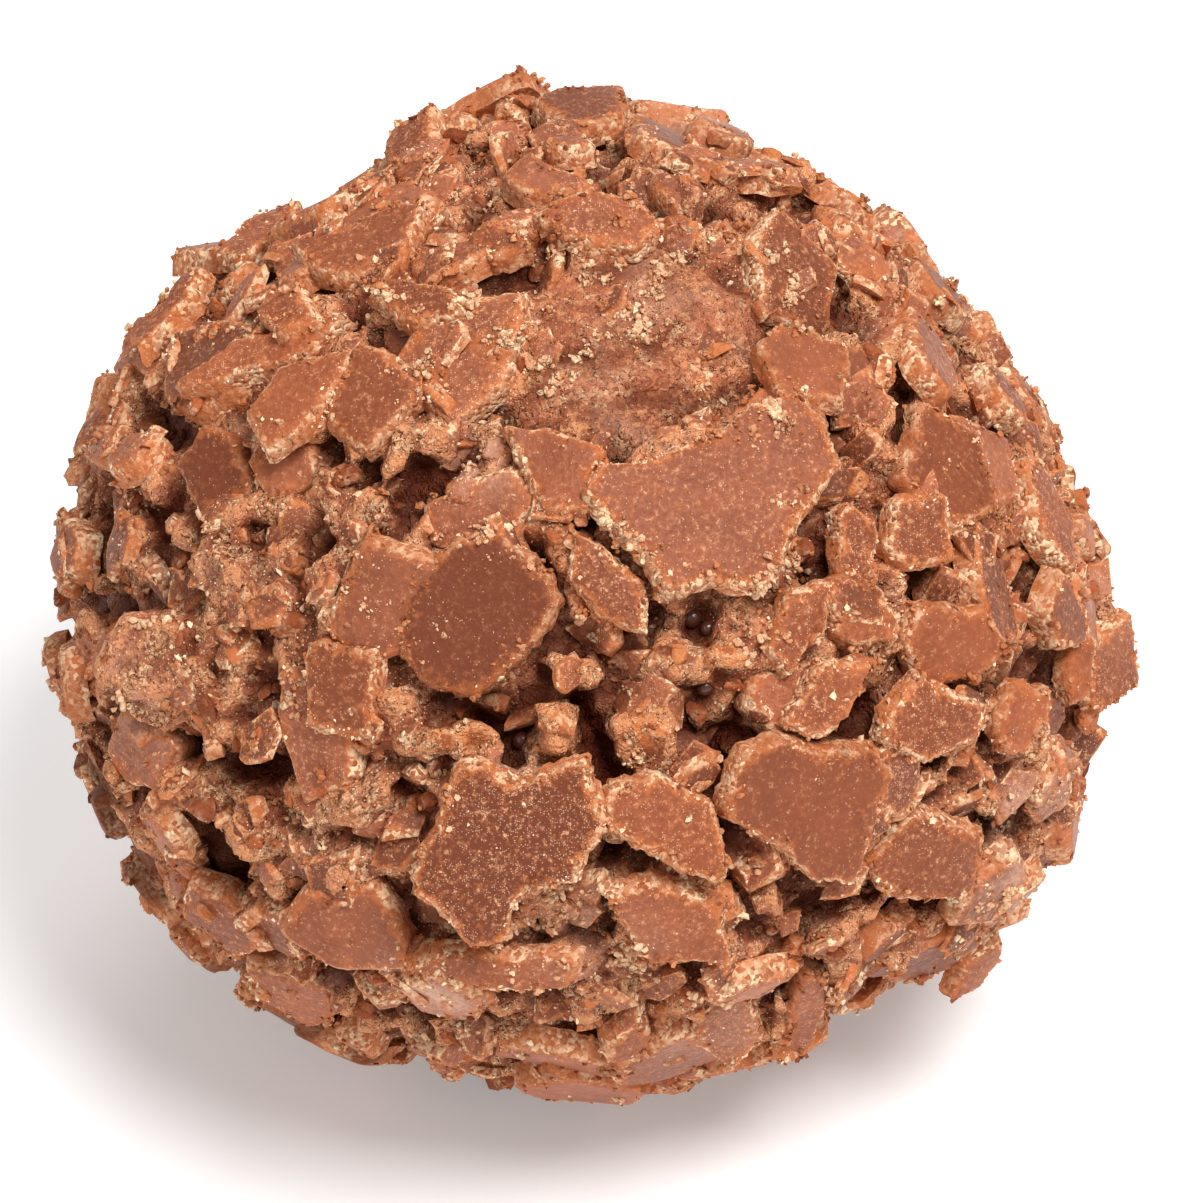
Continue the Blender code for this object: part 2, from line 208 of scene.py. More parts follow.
def drawIn(obj, most, share):  # corners that stand out too far come back towards the coat
    points, radius, directions = fromMiddle(obj)
    over = np.maximum(radius - coatRadii(directions) - most, 0)
    points *= ((radius - over * share) / radius)[:, None]
    setCoordinates(obj, points + np.array(middle))


def gaussVector(rng, spread):
    return Vector([rng.gauss(0, spread) for _ in range(3)])


def meanOf(points):
    return sum(points, Vector()) / len(points)


def turnedAxes(normal, turn):  # two axes square to a normal, turned round it
    side = normal.orthogonal().normalized()
    across = side * math.cos(turn) + normal.cross(side) * math.sin(turn)
    return across, normal.cross(across)


flake = {
    "thickness": 0.75 * mm,
    "seed": 12,
    "corners": (5, 5, 6),
    "ruffle": ((0.6, 1.1, 0), (0.5, 0.40, 5), (0.8, 0.19, 9)),  # share, length in mm, shift
    "curl": 0.012,
    "shown": {"spacing": 0.14 * mm, "rough": 0.14 * mm, "depth": 0.85},
    "loose": {"spacing": 0.32 * mm, "rough": 0.13 * mm, "depth": 1.0},
    "smallRoom": 0.62,  # how much of a small flake's reach is kept clear of loose ones
}

# outline corners on the plan, how it leans, how far its face stands off the coat;
# each name seeds its own outline, so the names stay as they are
largeFlakes = {
    "saddle": (
        [(585, 487), (602, 463), (655, 457), (684, 440), (727, 425), (756, 401), (802, 389),
         (827, 421), (844, 461), (807, 512), (786, 558), (764, 592), (713, 580), (671, 592),
         (649, 560), (620, 527), (593, 506)],
        (0.02, 0.05, 0.30), 1.5),
    "wedge": (
        [(502, 424), (545, 425), (580, 436), (608, 450), (592, 475), (586, 512), (541, 509),
         (522, 462)],
        (-0.05, 0.05, 0.20), 1.15),
    "smooth_panel": (
        [(400, 606), (425, 565), (455, 540), (500, 532), (535, 560), (560, 600), (540, 640),
         (505, 676), (475, 697), (435, 692), (398, 655)],
        (0.00, -0.15, 0.10), 0.45),
    "square_tile": (
        [(304, 646), (318, 638), (378, 652), (376, 700), (370, 742), (342, 738), (304, 728)],
        (0.05, -0.05, 0.25), 1.05),
    "raised_blade": (
        [(243, 412), (264, 384), (276, 366), (302, 355), (351, 347), (346, 374), (304, 424),
         (266, 450)],
        (0.05, 0.25, 0.35), 1.45),
    "dark_tile": (
        [(356, 342), (385, 345), (424, 385), (415, 402), (366, 454), (345, 438), (325, 420),
         (326, 402)],
        (0.05, -0.05, 0.20), 1.0),
    "upper_left_sheet": (
        [(292, 240), (343, 229), (362, 213), (405, 196), (424, 202), (410, 240), (398, 262),
         (345, 276), (300, 266)],
        (0.05, 0.00, 0.25), 1.05),
    "glossy_sheet": (
        [(727, 806), (735, 775), (748, 752), (782, 740), (830, 752), (880, 750), (899, 778),
         (884, 806), (866, 868), (858, 886), (818, 884), (782, 850), (735, 825)],
        (0.05, -0.05, 0.20), 1.1),
    "sloping_ledge": (
        [(606, 806), (625, 782), (660, 775), (712, 800), (730, 845), (728, 875), (716, 884),
         (685, 872), (650, 850), (615, 835)],
        (0.15, 0.25, 0.20), 1.5),
    "low_sheet": (
        [(408, 875), (430, 835), (445, 798), (455, 770), (480, 764), (515, 784), (560, 766),
         (582, 762), (600, 800), (610, 824), (584, 857), (578, 884), (528, 890), (510, 912),
         (508, 942), (470, 950), (443, 918), (414, 894)],
        (-0.05, 0.05, 0.30), 1.45),
}

# x, y, length, width, turn clockwise, lean, stand-off
smallFlakes = {
    "tucked_slab": (608, 580, 122, 70, 55, (-0.10, -0.05, 0.20), 0.95),
    "left_panel": (213, 468, 120, 76, 75, (0.15, -0.05, 0.20), 0.55),
    "small_tooth": (288, 306, 68, 52, -20, (0.00, 0.10, 0.20), 1.2),
    "long_step": (258, 352, 176, 44, -22, (0.10, 0.10, 0.25), 0.9),
    "upper_left_tile": (418, 296, 104, 54, 12, (0.00, 0.00, 0.15), 1.1),
    "upper_scale": (500, 238, 80, 38, 5, (0.00, -0.10, 0.10), 0.95),
    "upper_crown": (606, 216, 134, 64, 5, (0.00, -0.20, 0.20), 1.25),
    "round_flake": (807, 358, 116, 86, 25, (-0.10, 0.15, 0.20), 1.25),
    "right_sheet": (948, 462, 156, 106, 40, (-0.10, 0.05, 0.30), 0.95),
    "right_scale": (923, 530, 90, 84, 20, (-0.10, -0.05, 0.30), 1.3),
    "right_under": (862, 550, 98, 60, 85, (0.00, 0.00, 0.15), 0.7),
    "right_tooth": (806, 622, 112, 62, -60, (-0.05, 0.00, 0.20), 1.1),
    "right_block": (873, 626, 70, 56, -5, (0.00, -0.05, 0.20), 1.0),
    "right_oval": (829, 696, 104, 62, -48, (-0.10, 0.00, 0.25), 1.35),
    "right_ramp": (957, 643, 112, 90, -35, (-0.15, -0.10, 0.30), 1.0),
    "right_disc": (937, 726, 108, 96, 0, (-0.05, 0.00, 0.30), 1.4),
    "low_shelf": (672, 926, 136, 104, 10, (0.00, -0.05, 0.25), 1.25),
    "low_crust": (500, 972, 196, 46, 3, (0.00, 0.15, 0.30), 1.2),
    "low_right_sheet": (932, 860, 124, 112, -60, (-0.15, 0.00, 0.30), 1.0),
    "right_tile": (1029, 714, 88, 56, -70, (-0.20, 0.00, 0.40), 1.1),
    "right_wing": (1116, 668, 112, 56, 108, (0.00, 0.00, 0.90), 1.6),
    "right_fin": (1084, 664, 100, 32, 90, (-0.20, 0.00, 0.60), 1.4),
    "edge_blade": (168, 305, 108, 26, -50, (0.00, 0.20, 0.60), 2.2),
    "edge_sheet": (256, 232, 114, 36, -30, (0.00, 0.10, 0.60), 1.7),
    "horn": (408, 138, 84, 48, -60, (0.00, 0.10, 0.70), 2.0),
    "hanging_blade": (808, 1016, 106, 38, -68, (0.00, -0.10, 0.60), 1.6),
    "heel_blade": (976, 974, 86, 36, -45, (0.00, 0.00, 0.70), 1.9),
    "heel_sheet": (728, 1030, 102, 66, -50, (0.00, 0.10, 0.50), 1.2),
}


def brokenOutline(rng, length, width, corners):
    points = []
    start = rng.uniform(0, math.tau)
    for k in range(corners):
        turn = start + math.tau * (k + rng.uniform(-0.28, 0.28)) / corners
        reach = rng.uniform(0.82, 1.12)
        points.append((math.cos(turn) * length / 2 * reach, math.sin(turn) * width / 2 * reach))
    return points


def planCorners(name, row):
    x, y, length, width, turn = row[:5]
    rng = random.Random(f"{flake['seed']} {name}")
    cosine, sine = math.cos(math.radians(turn)), math.sin(math.radians(turn))
    shape = brokenOutline(rng, length, width, rng.choice(flake["corners"]))
    return [(x + u * cosine - v * sine, y + u * sine + v * cosine) for u, v in shape]


def planOutline(corners, lean, standOff):  # the corners on the flake's own plane, in space
    middleX = sum(x for x, _ in corners) / len(corners)
    middleY = sum(y for _, y in corners) / len(corners)
    direction = coatDirection(middleX, middleY)
    normal = coatNormal(direction)
    normal = (normal + rightwards * lean[0] + upwards * lean[1] + outwards * lean[2]).normalized()
    anchor = direction * coatRadius(direction) + normal * standOff * flake["thickness"]
    points = []
    for x, y in corners:
        eye, sight = sightLine(x, y)
        along = (anchor - eye).dot(normal) / sight.dot(normal)
        points.append(middle + eye + sight * along)
    return points, normal


class plateMaker:  # gathers many broken plates into one mesh
    def __init__(self):
        self.vertices, self.faces = [], []
        self.looks = []  # for each vertex: how much of an edge, how light, how dusty
        self.outlines = []  # outline, middle and axes, for the coat's beds and for crumbs

    def addRing(self, ring, edge, look):
        first = len(self.vertices)
        self.vertices.extend(ring)
        self.looks.extend([(edge, *look)] * len(ring))
        return first

    def addRings(self, rings, top, look):  # from the underside up, closed below and at the top
        firsts = [self.addRing(ring, value, look) for ring, value in rings]
        size = len(rings[0][0])
        for lower, upper in zip(firsts, firsts[1:]):
            for k in range(size):
                n = (k + 1) % size
                self.faces.append((lower + k, lower + n, upper + n, upper + k))
        top = self.addRing([top], 0.0, look)
        for k in range(size):
            self.faces.append((firsts[-1] + k, firsts[-1] + (k + 1) % size, top))
        self.faces.append(tuple(firsts[0] + k for k in reversed(range(size))))

    def addPlate(self, corners, normal, rng, spacing, rough, depth, look=None):  # one flake
        centre = meanOf(corners)
        across = (corners[0] - centre).normalized()
        along = normal.cross(across)
        shift = rng.uniform(0, 900)
        walk, outline = 0.0, []
        for start, end in zip(corners, corners[1:] + corners[:1]):
            side = (end - start).cross(normal).normalized()
            length = (end - start).length
            steps = max(2, round(length / spacing))
            for j in range(steps):
                share = j / steps
                s = walk + length * share
                wave = sum(part * noise.noise(Vector((s / (size * mm), shift, other)))
                           for part, size, other in flake["ruffle"])
                outline.append(start.lerp(end, share) + side * wave * rough)
            walk += length
        soft = [(outline[k - 1] + outline[k] * 4 + outline[(k + 1) % len(outline)]) / 6
                for k in range(len(outline))]
        look = look or (rng.uniform(0.1, 1), rng.uniform(0.1, 0.9))
        curl = rng.uniform(-0.5, 0.5) * flake["curl"] / mm
        curlTurn = rng.uniform(0, math.pi)

        def ringOf(inset, height, jitter, shrink=1.0):
            ring = []
            for point in soft:
                spoke = point - centre
                reach = max(spoke.length - inset, 0.15 * spoke.length) * shrink
                place = spoke.normalized() * reach
                u, v = place.dot(across), place.dot(along)
                bend = u * math.cos(curlTurn) + v * math.sin(curlTurn)
                wavy = noise.noise(Vector((u, v, shift * mm)) / (1.6 * mm)) * 0.07 * mm
                lift = height + wavy + curl * bend * bend
                place = place + place.normalized() * rng.uniform(-jitter, jitter)
                ring.append(centre + place + normal * (lift + rng.uniform(-jitter, jitter) * 0.6))
            return ring

        t = flake["thickness"]
        rings = [
            (ringOf(-0.06 * mm, -t * depth, 0.05 * mm), 1.0),
            (ringOf(-0.03 * mm, -t * 0.55, 0.06 * mm), 1.0),
            (ringOf(0.01 * mm, -t * 0.28, 0.05 * mm), 1.0),
            (ringOf(0.08 * mm, -0.09 * mm, 0.03 * mm), 0.9),
            (ringOf(0.19 * mm, -0.02 * mm, 0.016 * mm), 0.6),
            (ringOf(0.42 * mm, 0.0, 0.006 * mm), 0.2),
            (ringOf(0.50 * mm, 0.0, 0.0, 0.62), 0.0),
            (ringOf(0.50 * mm, 0.0, 0.0, 0.28), 0.0),
        ]
        self.addRings(rings, meanOf(rings[-1][0]), look)
        self.outlines.append((soft, centre, normal, across, along))

    def finish(self, name, smoothAngle):
        layers = dict(zip(("edge", "tone", "dusty"), zip(*self.looks)))
        obj = meshObject(name, self.vertices, self.faces, layers, smoothAngle)
        print(name + ":", len(obj.data.polygons), "faces")
        return obj


flakeLooks = {  # how light a flake is, and how much dust lies on it
    "saddle": (0.55, 0.50), "wedge": (0.55, 0.25), "smooth_panel": (-0.05, 0.05),
    "square_tile": (0.25, 0.45), "raised_blade": (0.8, 0.3), "dark_tile": (0.3, 0.3),
    "upper_left_sheet": (0.45, 0.4), "glossy_sheet": (0.3, 0.2), "sloping_ledge": (0.55, 0.7),
    "low_sheet": (-0.1, 1.0), "left_panel": (-0.1, 0.0), "round_flake": (0.6, 0.15),
    "right_disc": (0.35, 0.8), "right_oval": (0.6, 0.7), "low_right_sheet": (0.3, 0.5),
    "tucked_slab": (0.3, 0.7), "right_tooth": (0.5, 0.6),
}

shown = plateMaker()
taken = []
allShown = dict(largeFlakes)
for name, row in smallFlakes.items():
    allShown[name] = (planCorners(name, row), row[5], row[6])
for k, (name, (corners, lean, standOff)) in enumerate(allShown.items()):
    outline, normal = planOutline(corners, lean, standOff)
    rng = random.Random(100 + k)
    shown.addPlate(outline, normal, rng, look=flakeLooks.get(name), **flake["shown"])
    centre = meanOf(outline) - middle
    reach = sum((corner - middle - centre).length for corner in outline) / len(outline)
    room = 1.0 if name in largeFlakes else flake["smallRoom"]
    taken.append((centre.normalized(), reach * room))
shownFlakes = shown.finish("shownFlakes", 60)

# dark holes between the flakes, on the plan: x, y, radius
cavities = [
    (515, 742, 27), (598, 752, 20), (567, 625, 15), (734, 742, 16), (633, 853, 12), (320, 432, 17),
    (866, 715, 14), (807, 567, 14), (994, 600, 10), (210, 885, 16), (302, 915, 12), (218, 778, 26),
    (702, 624, 22), (100, 565, 16), (712, 690, 14), (140, 728, 15), (172, 744, 15), (258, 772, 17),
    (300, 764, 14), (345, 756, 13), (402, 762, 14), (951, 786, 13),
]
cavityPlaces = spots(cavities)
taken += spots([(x, y, round(radius * 1.2)) for x, y, radius in cavities])


def inCavity(direction):
    return any(direction.angle(d) * ball["radius"] < reach for d, reach in cavityPlaces)


# long creases on the plan, with their depth and half width in millimetres
creases = [
    ([(108, 712), (140, 736), (168, 748), (214, 766), (262, 774)], 1.15, 0.42),
    ([(262, 774), (300, 768), (345, 760), (400, 768), (436, 776)], 0.55, 0.30),
    ([(205, 850), (225, 900), (250, 940), (300, 955), (345, 975), (375, 1020), (440, 1075)],
     1.10, 0.45),
    ([(92, 505), (102, 560), (110, 620)], 0.9, 0.40),
    ([(470, 735), (500, 742), (538, 732)], 0.7, 0.40),
    ([(575, 712), (598, 752), (622, 792)], 0.7, 0.30),
    ([(768, 735), (735, 748), (715, 770)], 0.8, 0.35),
    ([(850, 735), (866, 712), (880, 692)], 0.8, 0.35),
    ([(606, 862), (633, 852), (645, 868)], 0.7, 0.35),
    ([(975, 790), (1000, 770), (1030, 765)], 0.4, 0.25),
]
deepCrease = 0.45 * mm  # nothing loose lies where a crease is deeper
# swellings of the coat: where, spread, height
bulges = [((188, 640), 3.0, 0.45), ((300, 850), 2.2, 0.25), ((700, 980), 2.5, 0.20)]
creasePoints, creaseDepths, creaseWidths = [], [], []
for line, depth, width in creases:
    for (x1, y1), (x2, y2) in zip(line, line[1:]):
        for share in (0, 0.25, 0.5, 0.75):
            creasePoints.append(coatDirection(x1 + (x2 - x1) * share, y1 + (y2 - y1) * share))
            creaseDepths.append(depth * mm)
            creaseWidths.append(width * mm)
creasePoints = np.array(creasePoints)
creaseDepths, creaseWidths = np.array(creaseDepths), np.array(creaseWidths)
bulgePlaces = [(coatDirection(*at), spread * mm, height * mm) for at, spread, height in bulges]


def creased(directions):  # how far the coat drops in its creases, for an array of directions
    drop = np.zeros(len(directions))
    for point, depth, width in zip(creasePoints, creaseDepths, creaseWidths):
        away = anglesTo(point, directions) * ball["radius"]
        drop = np.maximum(drop, depth * np.exp(-((away / width) ** 2)))
    for point, spread, height in bulgePlaces:
        away = anglesTo(point, directions) * ball["radius"]
        drop -= height * np.exp(-((away / spread) ** 2))
    return drop


def inCrease(direction):
    away = anglesTo(direction, creasePoints) * ball["radius"]
    return bool((creaseDepths * np.exp(-((away / creaseWidths) ** 2)) > deepCrease).any())


# nuggets laid out on the plan: x, y, length, width, turn, height off the coat by width
shownNuggets = [
    (465, 737, 84, 42, 18, 0.55), (551, 712, 48, 46, 0, 0.55), (553, 750, 44, 38, 0, 0.50),
    (425, 778, 26, 26, 0, 0.40), (398, 716, 40, 58, 10, 0.45), (160, 676, 140, 116, -15, 0.40),
    (235, 585, 104, 80, 5, 0.38), (270, 738, 64, 44, -35, 0.50), (340, 595, 96, 64, 42, 0.42),
    (325, 480, 54, 52, 5, 0.42), (372, 518, 62, 56, 20, 0.38), (447, 432, 78, 54, -5, 0.40),
    (488, 486, 60, 36, 5, 0.40), (568, 668, 76, 34, 8, 0.45), (660, 672, 44, 76, 15, 0.42),
    (722, 656, 82, 48, 18, 0.40), (640, 730, 90, 36, -8, 0.38), (700, 772, 54, 40, -20, 0.40),
    (602, 872, 30, 56, 15, 0.45), (128, 765, 44, 60, 5, 0.50), (165, 780, 36, 66, 0, 0.50),
    (260, 835, 90, 70, -30, 0.36), (362, 800, 62, 66, 0, 0.40), (350, 880, 84, 66, -15, 0.38),
    (515, 90, 60, 44, 0, 0.45), (490, 135, 80, 44, -10, 0.42), (440, 190, 50, 40, 20, 0.48),
    (535, 160, 50, 34, -20, 0.45), (640, 160, 70, 34, -5, 0.42), (716, 178, 84, 40, -24, 0.45),
    (820, 250, 84, 48, -20, 0.36), (868, 288, 60, 40, -30, 0.48), (884, 345, 40, 72, 20, 0.42),
    (1104, 520, 52, 56, 0, 0.50), (1076, 560, 46, 36, -35, 0.50), (1016, 615, 30, 62, 5, 0.42),
    (1112, 596, 56, 64, 0, 0.45), (1108, 668, 60, 84, 0, 0.40), (1060, 820, 70, 90, 20, 0.40),
    (1055, 430, 60, 60, 0, 0.36), (905, 797, 36, 36, 20, 0.45), (892, 955, 44, 56, -10, 0.45),
    (840, 928, 76, 46, 20, 0.42), (985, 795, 50, 74, 20, 0.40), (780, 1000, 26, 30, 0, 0.45),
    (84, 470, 50, 76, 0, 0.50), (74, 522, 40, 66, 0, 0.50),
    (512, 364, 76, 26, -18, 0.50), (524, 333, 38, 34, 0, 0.50), (418, 346, 28, 30, 0, 0.50),
    (435, 386, 30, 26, 0, 0.50), (476, 306, 46, 20, 10, 0.50), (790, 422, 76, 60, 0, 0.52),
    (735, 436, 70, 44, 0, 0.52), (1098, 618, 64, 60, 0, 0.60),
]
nuggetRoom = 0.30  # of its longer side
for x, y, length, width, _, _ in shownNuggets:
    taken.append((coatDirection(x, y), max(length, width) * plan["unit"] * nuggetRoom))
# stretches of rubble without loose flakes: x, y, radius
rubble = [(188, 650, 95), (250, 565, 60), (165, 560, 60), (215, 790, 60), (270, 860, 75),
          (360, 800, 50), (345, 870, 50), (560, 700, 60), (660, 700, 60), (400, 470, 60)]
taken += spots(rubble)

# where the coat lies bare and smooth: the patch near the top, then the skirt at the lower left
# the skirt is also darkened with painted shade in every material
skirt = [(62, 560, 26), (56, 630, 28), (62, 700, 30), (80, 755, 34), (104, 805, 40), (146, 872, 44),
         (200, 950, 42), (290, 1020, 40), (380, 1060, 36), (470, 1082, 30)]
barePatches = [(668, 320, 96), (590, 296, 56), (575, 392, 46), (640, 420, 30), (208, 448, 44)]
barePatches += skirt
barePlaces = spots(barePatches)
taken += barePlaces[:2]

# loose flakes over the rest, by the same rule as the solid's
loose = {
    "seed": 16, "count": 230, "length": (0.0018, 0.0046), "widthShare": (0.6, 0.95),
    "tilt": 0.28, "standOff": (0.15, 1.0), "footClearance": 0.62, "nudge": 0.06,
}


def spiralDirection(k, count, rng):
    golden = math.pi * (3 - math.sqrt(5))
    height = 1 - 2 * (k + 0.5) / count
    ring = math.sqrt(1 - height**2)
    nudge = Vector([rng.uniform(-loose["nudge"], loose["nudge"]) for _ in range(3)])
    even = Vector((ring * math.cos(golden * k), ring * math.sin(golden * k), height))
    return (even + nudge).normalized()


def isFree(direction):
    if direction.z < 0 and Vector(direction.xy).length < loose["footClearance"]:
        return False
    return all(direction.angle(other) * ball["radius"] > reach for other, reach in taken)


looseMaker = plateMaker()
rng = random.Random(loose["seed"])
for k in range(loose["count"]):
    direction = spiralDirection(k, loose["count"], rng)
    length = rng.uniform(*loose["length"])
    width = length * rng.uniform(*loose["widthShare"])
    shape = brokenOutline(rng, length, width, rng.choice(flake["corners"]))
    turn = rng.uniform(0, math.tau)
    lean = Vector([rng.uniform(-1, 1) * loose["tilt"] for _ in range(3)])
    standOff = rng.uniform(*loose["standOff"])
    if not isFree(direction) or inCrease(direction):
        continue
    normal = (coatNormal(direction) + lean).normalized()
    across, along = turnedAxes(normal, turn)
    anchor = middle + direction * coatRadius(direction) + normal * standOff * flake["thickness"]
    corners = [anchor + across * x + along * y for x, y in shape]
    looseMaker.addPlate(corners, normal, random.Random(500 + k), **flake["loose"])
looseFlakes = looseMaker.finish("looseFlakes", 60)


def unitBall(subdivisions):
    deselectAll()
    bpy.ops.mesh.primitive_ico_sphere_add(subdivisions=subdivisions, radius=1)
    obj = bpy.context.object
    points = coordinates(obj)
    faces = np.array([list(p.vertices) for p in obj.data.polygons])
    bpy.data.objects.remove(obj, do_unlink=True)
    return points, faces


def stone(unit, rng, planes):  # a ball with flat breaks, sized 1
    points = unit * rng.uniform(0.92, 1.08)
    for _ in range(planes):
        cut = rng.normal(size=3)
        cut /= np.linalg.norm(cut)
        depth = rng.uniform(0.35, 0.85)
        over = np.maximum(points @ cut - depth, 0)
        points = points - over[:, None] * cut
    return points


def seated(points, place, normal, size, turn):  # a stone scaled, turned and set down
    axes = np.array([*turnedAxes(normal, turn), normal])
    return np.array(place) + (points * np.array(size)) @ axes


def gather(blocks, unitFaces):
    vertices = np.concatenate(blocks)
    count = len(blocks[0])
    faces = np.concatenate([unitFaces + k * count for k in range(len(blocks))])
    return vertices, faces


bareFade = {"outside": 1.30, "width": 0.45, "bare": 0.6}  # in shares of a patch's reach


def bareArray(directions):  # 1 in the middle of a bare patch, 0 outside them, for an array
    share = np.zeros(len(directions))
    for place, reach in barePlaces:
        away = anglesTo(place, directions) * ball["radius"] / reach
        share = np.maximum(share, np.clip((bareFade["outside"] - away) / bareFade["width"], 0, 1))
    return share


def bareness(direction):
    return float(bareArray(np.array([direction]))[0])


coat = {
    "sink": 0.72 * mm,  # the ball lies this far under the coat's face
    "bareSink": 0.12 * mm,
    "lumps": 1900, "lumpSize": (0.30, 1.00), "lumpHeight": (-0.45, 0.22), "lumpSunk": 0.35,
    "lumpLean": 0.25, "lumpShape": ((0.9, 0.7, 0.5), (1.4, 1.1, 0.8)), "lumpBreaks": 7,
    "skippedBare": 0.8, "bareDrop": 0.35 * mm,  # lumps left out and lowered where it lies bare
    "nuggetHeight": 1.1, "nuggetSize": 1.05, "nuggetBreaks": 6, "bedBreaks": 5,
    "bed": (0.80, 0.75, 0.95),  # under a flake: share of its reach, half height and drop in mm
    "voxel": 0.26 * mm,
    "pressed": 0.30 * mm,  # how far under a flake's face the coat is pressed
    "pressFrom": 2.5 * mm,
    "coreRadius": 9 * mm,  # inside this the creases stop
    "smoothing": 0.75, "steps": 20,  # how much less rough a bare patch is, and in how many steps
    "ridgeRounds": 12,
    "relief": (  # kind of texture, its size and strength in millimetres
        ("VORONOI", 0.75, 0.40), ("CLOUDS", 0.9, 0.20), ("CLOUDS", 0.34, 0.17),
    ),
}

rng = np.random.default_rng(4)
ballPoints, ballFaces = unitBall(6)
ballPoints /= np.linalg.norm(ballPoints, axis=1)[:, None]
bare = bareArray(ballPoints)
sunk = coat["sink"] * (1 - bare) + coat["bareSink"] * bare
ballPoints = np.array(middle) + ballPoints * (coatRadii(ballPoints) - sunk)[:, None]

lumpUnit, lumpFaces = unitBall(3)
blocks = []
spiral = random.Random(9)
for k in range(coat["lumps"]):
    direction = spiralDirection(k, coat["lumps"], spiral)
    size = rng.uniform(*coat["lumpSize"]) * mm
    seat = coatRadius(direction) + rng.uniform(*coat["lumpHeight"]) * mm - size * coat["lumpSunk"]
    isBare = bareness(direction) > bareFade["bare"]
    if inCavity(direction) or isBare and spiral.random() < coat["skippedBare"]:
        continue
    seat -= coat["bareDrop"] * bareness(direction)
    normal = (direction + Vector(rng.normal(size=3) * coat["lumpLean"])).normalized()
    sizes = size * rng.uniform(*coat["lumpShape"])
    shape = stone(lumpUnit, rng, coat["lumpBreaks"])
    blocks.append(seated(shape, middle + direction * seat, normal, sizes, rng.uniform(0, 6.3)))
for x, y, length, width, turn, share in shownNuggets:
    direction = coatDirection(x, y)
    normal = coatNormal(direction)
    height = coat["nuggetHeight"] * min(length, width) * plan["unit"]
    seat = middle + direction * coatRadius(direction) + normal * (share - 0.5) * height
    across = (rightwards - normal * rightwards.dot(normal)).normalized()
    turned = -math.radians(turn)
    axisU = across * math.cos(turned) + normal.cross(across) * math.sin(turned)
    axes = np.array([axisU, normal.cross(axisU), normal])
    sizes = np.array([length * plan["unit"], width * plan["unit"], height]) / 2
    shape = stone(lumpUnit, rng, coat["nuggetBreaks"]) * (sizes * coat["nuggetSize"])
    blocks.append(np.array(seat) + shape @ axes)
for soft, centre, normal, across, along in shown.outlines + looseMaker.outlines:  # a bed for each
    reach = sum((point - centre).length for point in soft) / len(soft)
    bedShare, bedHeight, bedDrop = coat["bed"]
    sizes = np.array([reach * bedShare, reach * bedShare, bedHeight * mm])
    axes = np.array([across, along, normal])
    seat = np.array(centre - normal * bedDrop * mm)
    blocks.append(seat + (stone(lumpUnit, rng, coat["bedBreaks"]) * sizes) @ axes)
lumpPoints, lumpFacesAll = gather(blocks, lumpFaces)
vertices = np.concatenate([ballPoints, lumpPoints])
faces = np.concatenate([ballFaces, lumpFacesAll + len(ballPoints)])
coatPiece = meshObject("coat", vertices.tolist(), faces.tolist())
applyModifier(coatPiece, "REMESH", mode="VOXEL", voxel_size=coat["voxel"])
print("coat:", len(coatPiece.data.polygons), "faces")

# the flakes press the coat down under them
points = coordinates(coatPiece)
for soft, centre, normal, across, along in shown.outlines + looseMaker.outlines:
    spoke = points - np.array(centre)
    height = spoke @ np.array(normal)
    u, v = spoke @ np.array(across), spoke @ np.array(along)
    reach = max((p - centre).length for p in soft)
    near = (np.hypot(u, v) < reach) & (height > -coat["pressed"]) & (height < coat["pressFrom"])
    near = np.nonzero(near)[0]
    if not len(near):
        continue
    ringU = np.array([(p - centre).dot(across) for p in soft])
    ringV = np.array([(p - centre).dot(along) for p in soft])
    inside = np.zeros(len(near), bool)
    pu, pv = u[near], v[near]
    for k in range(len(soft)):
        u1, v1, u2, v2 = ringU[k - 1], ringV[k - 1], ringU[k], ringV[k]
        crosses = ((v1 > pv) != (v2 > pv)) & (pu < (u2 - u1) * (pv - v1) / (v2 - v1 + 1e-12) + u1)
        inside ^= crosses
    pressed = near[inside]
    points[pressed] -= np.array(normal) * (height[pressed] + coat["pressed"])[:, None]
setCoordinates(coatPiece, points)

# creases, and a smooth hollowed patch where the coat lies bare
points, radius, directions = fromMiddle(coatPiece)
points -= directions * np.where(radius > coat["coreRadius"], creased(directions), 0)[:, None]
setCoordinates(coatPiece, points + np.array(middle))
bare = bareArray(directions)
roughGroup = coatPiece.vertex_groups.new(name="rough")
steps = np.round((1 - coat["smoothing"] * bare) * coat["steps"]).astype(int)
for step in np.unique(steps):
    roughGroup.add(np.nonzero(steps == step)[0].tolist(), step / coat["steps"], "REPLACE")

for kind, size, strength in coat["relief"]:
    texture = bpy.data.textures.new("relief", kind)
    texture.noise_scale = size * mm
    if kind == "CLOUDS":
        texture.noise_depth = 2
    applyModifier(coatPiece, "DISPLACE", texture=texture, texture_coords="LOCAL",
                  strength=strength * mm, mid_level=0.55, vertex_group="rough")
keepInBox(coatPiece)
addLayer(coatPiece, "bare", bare)

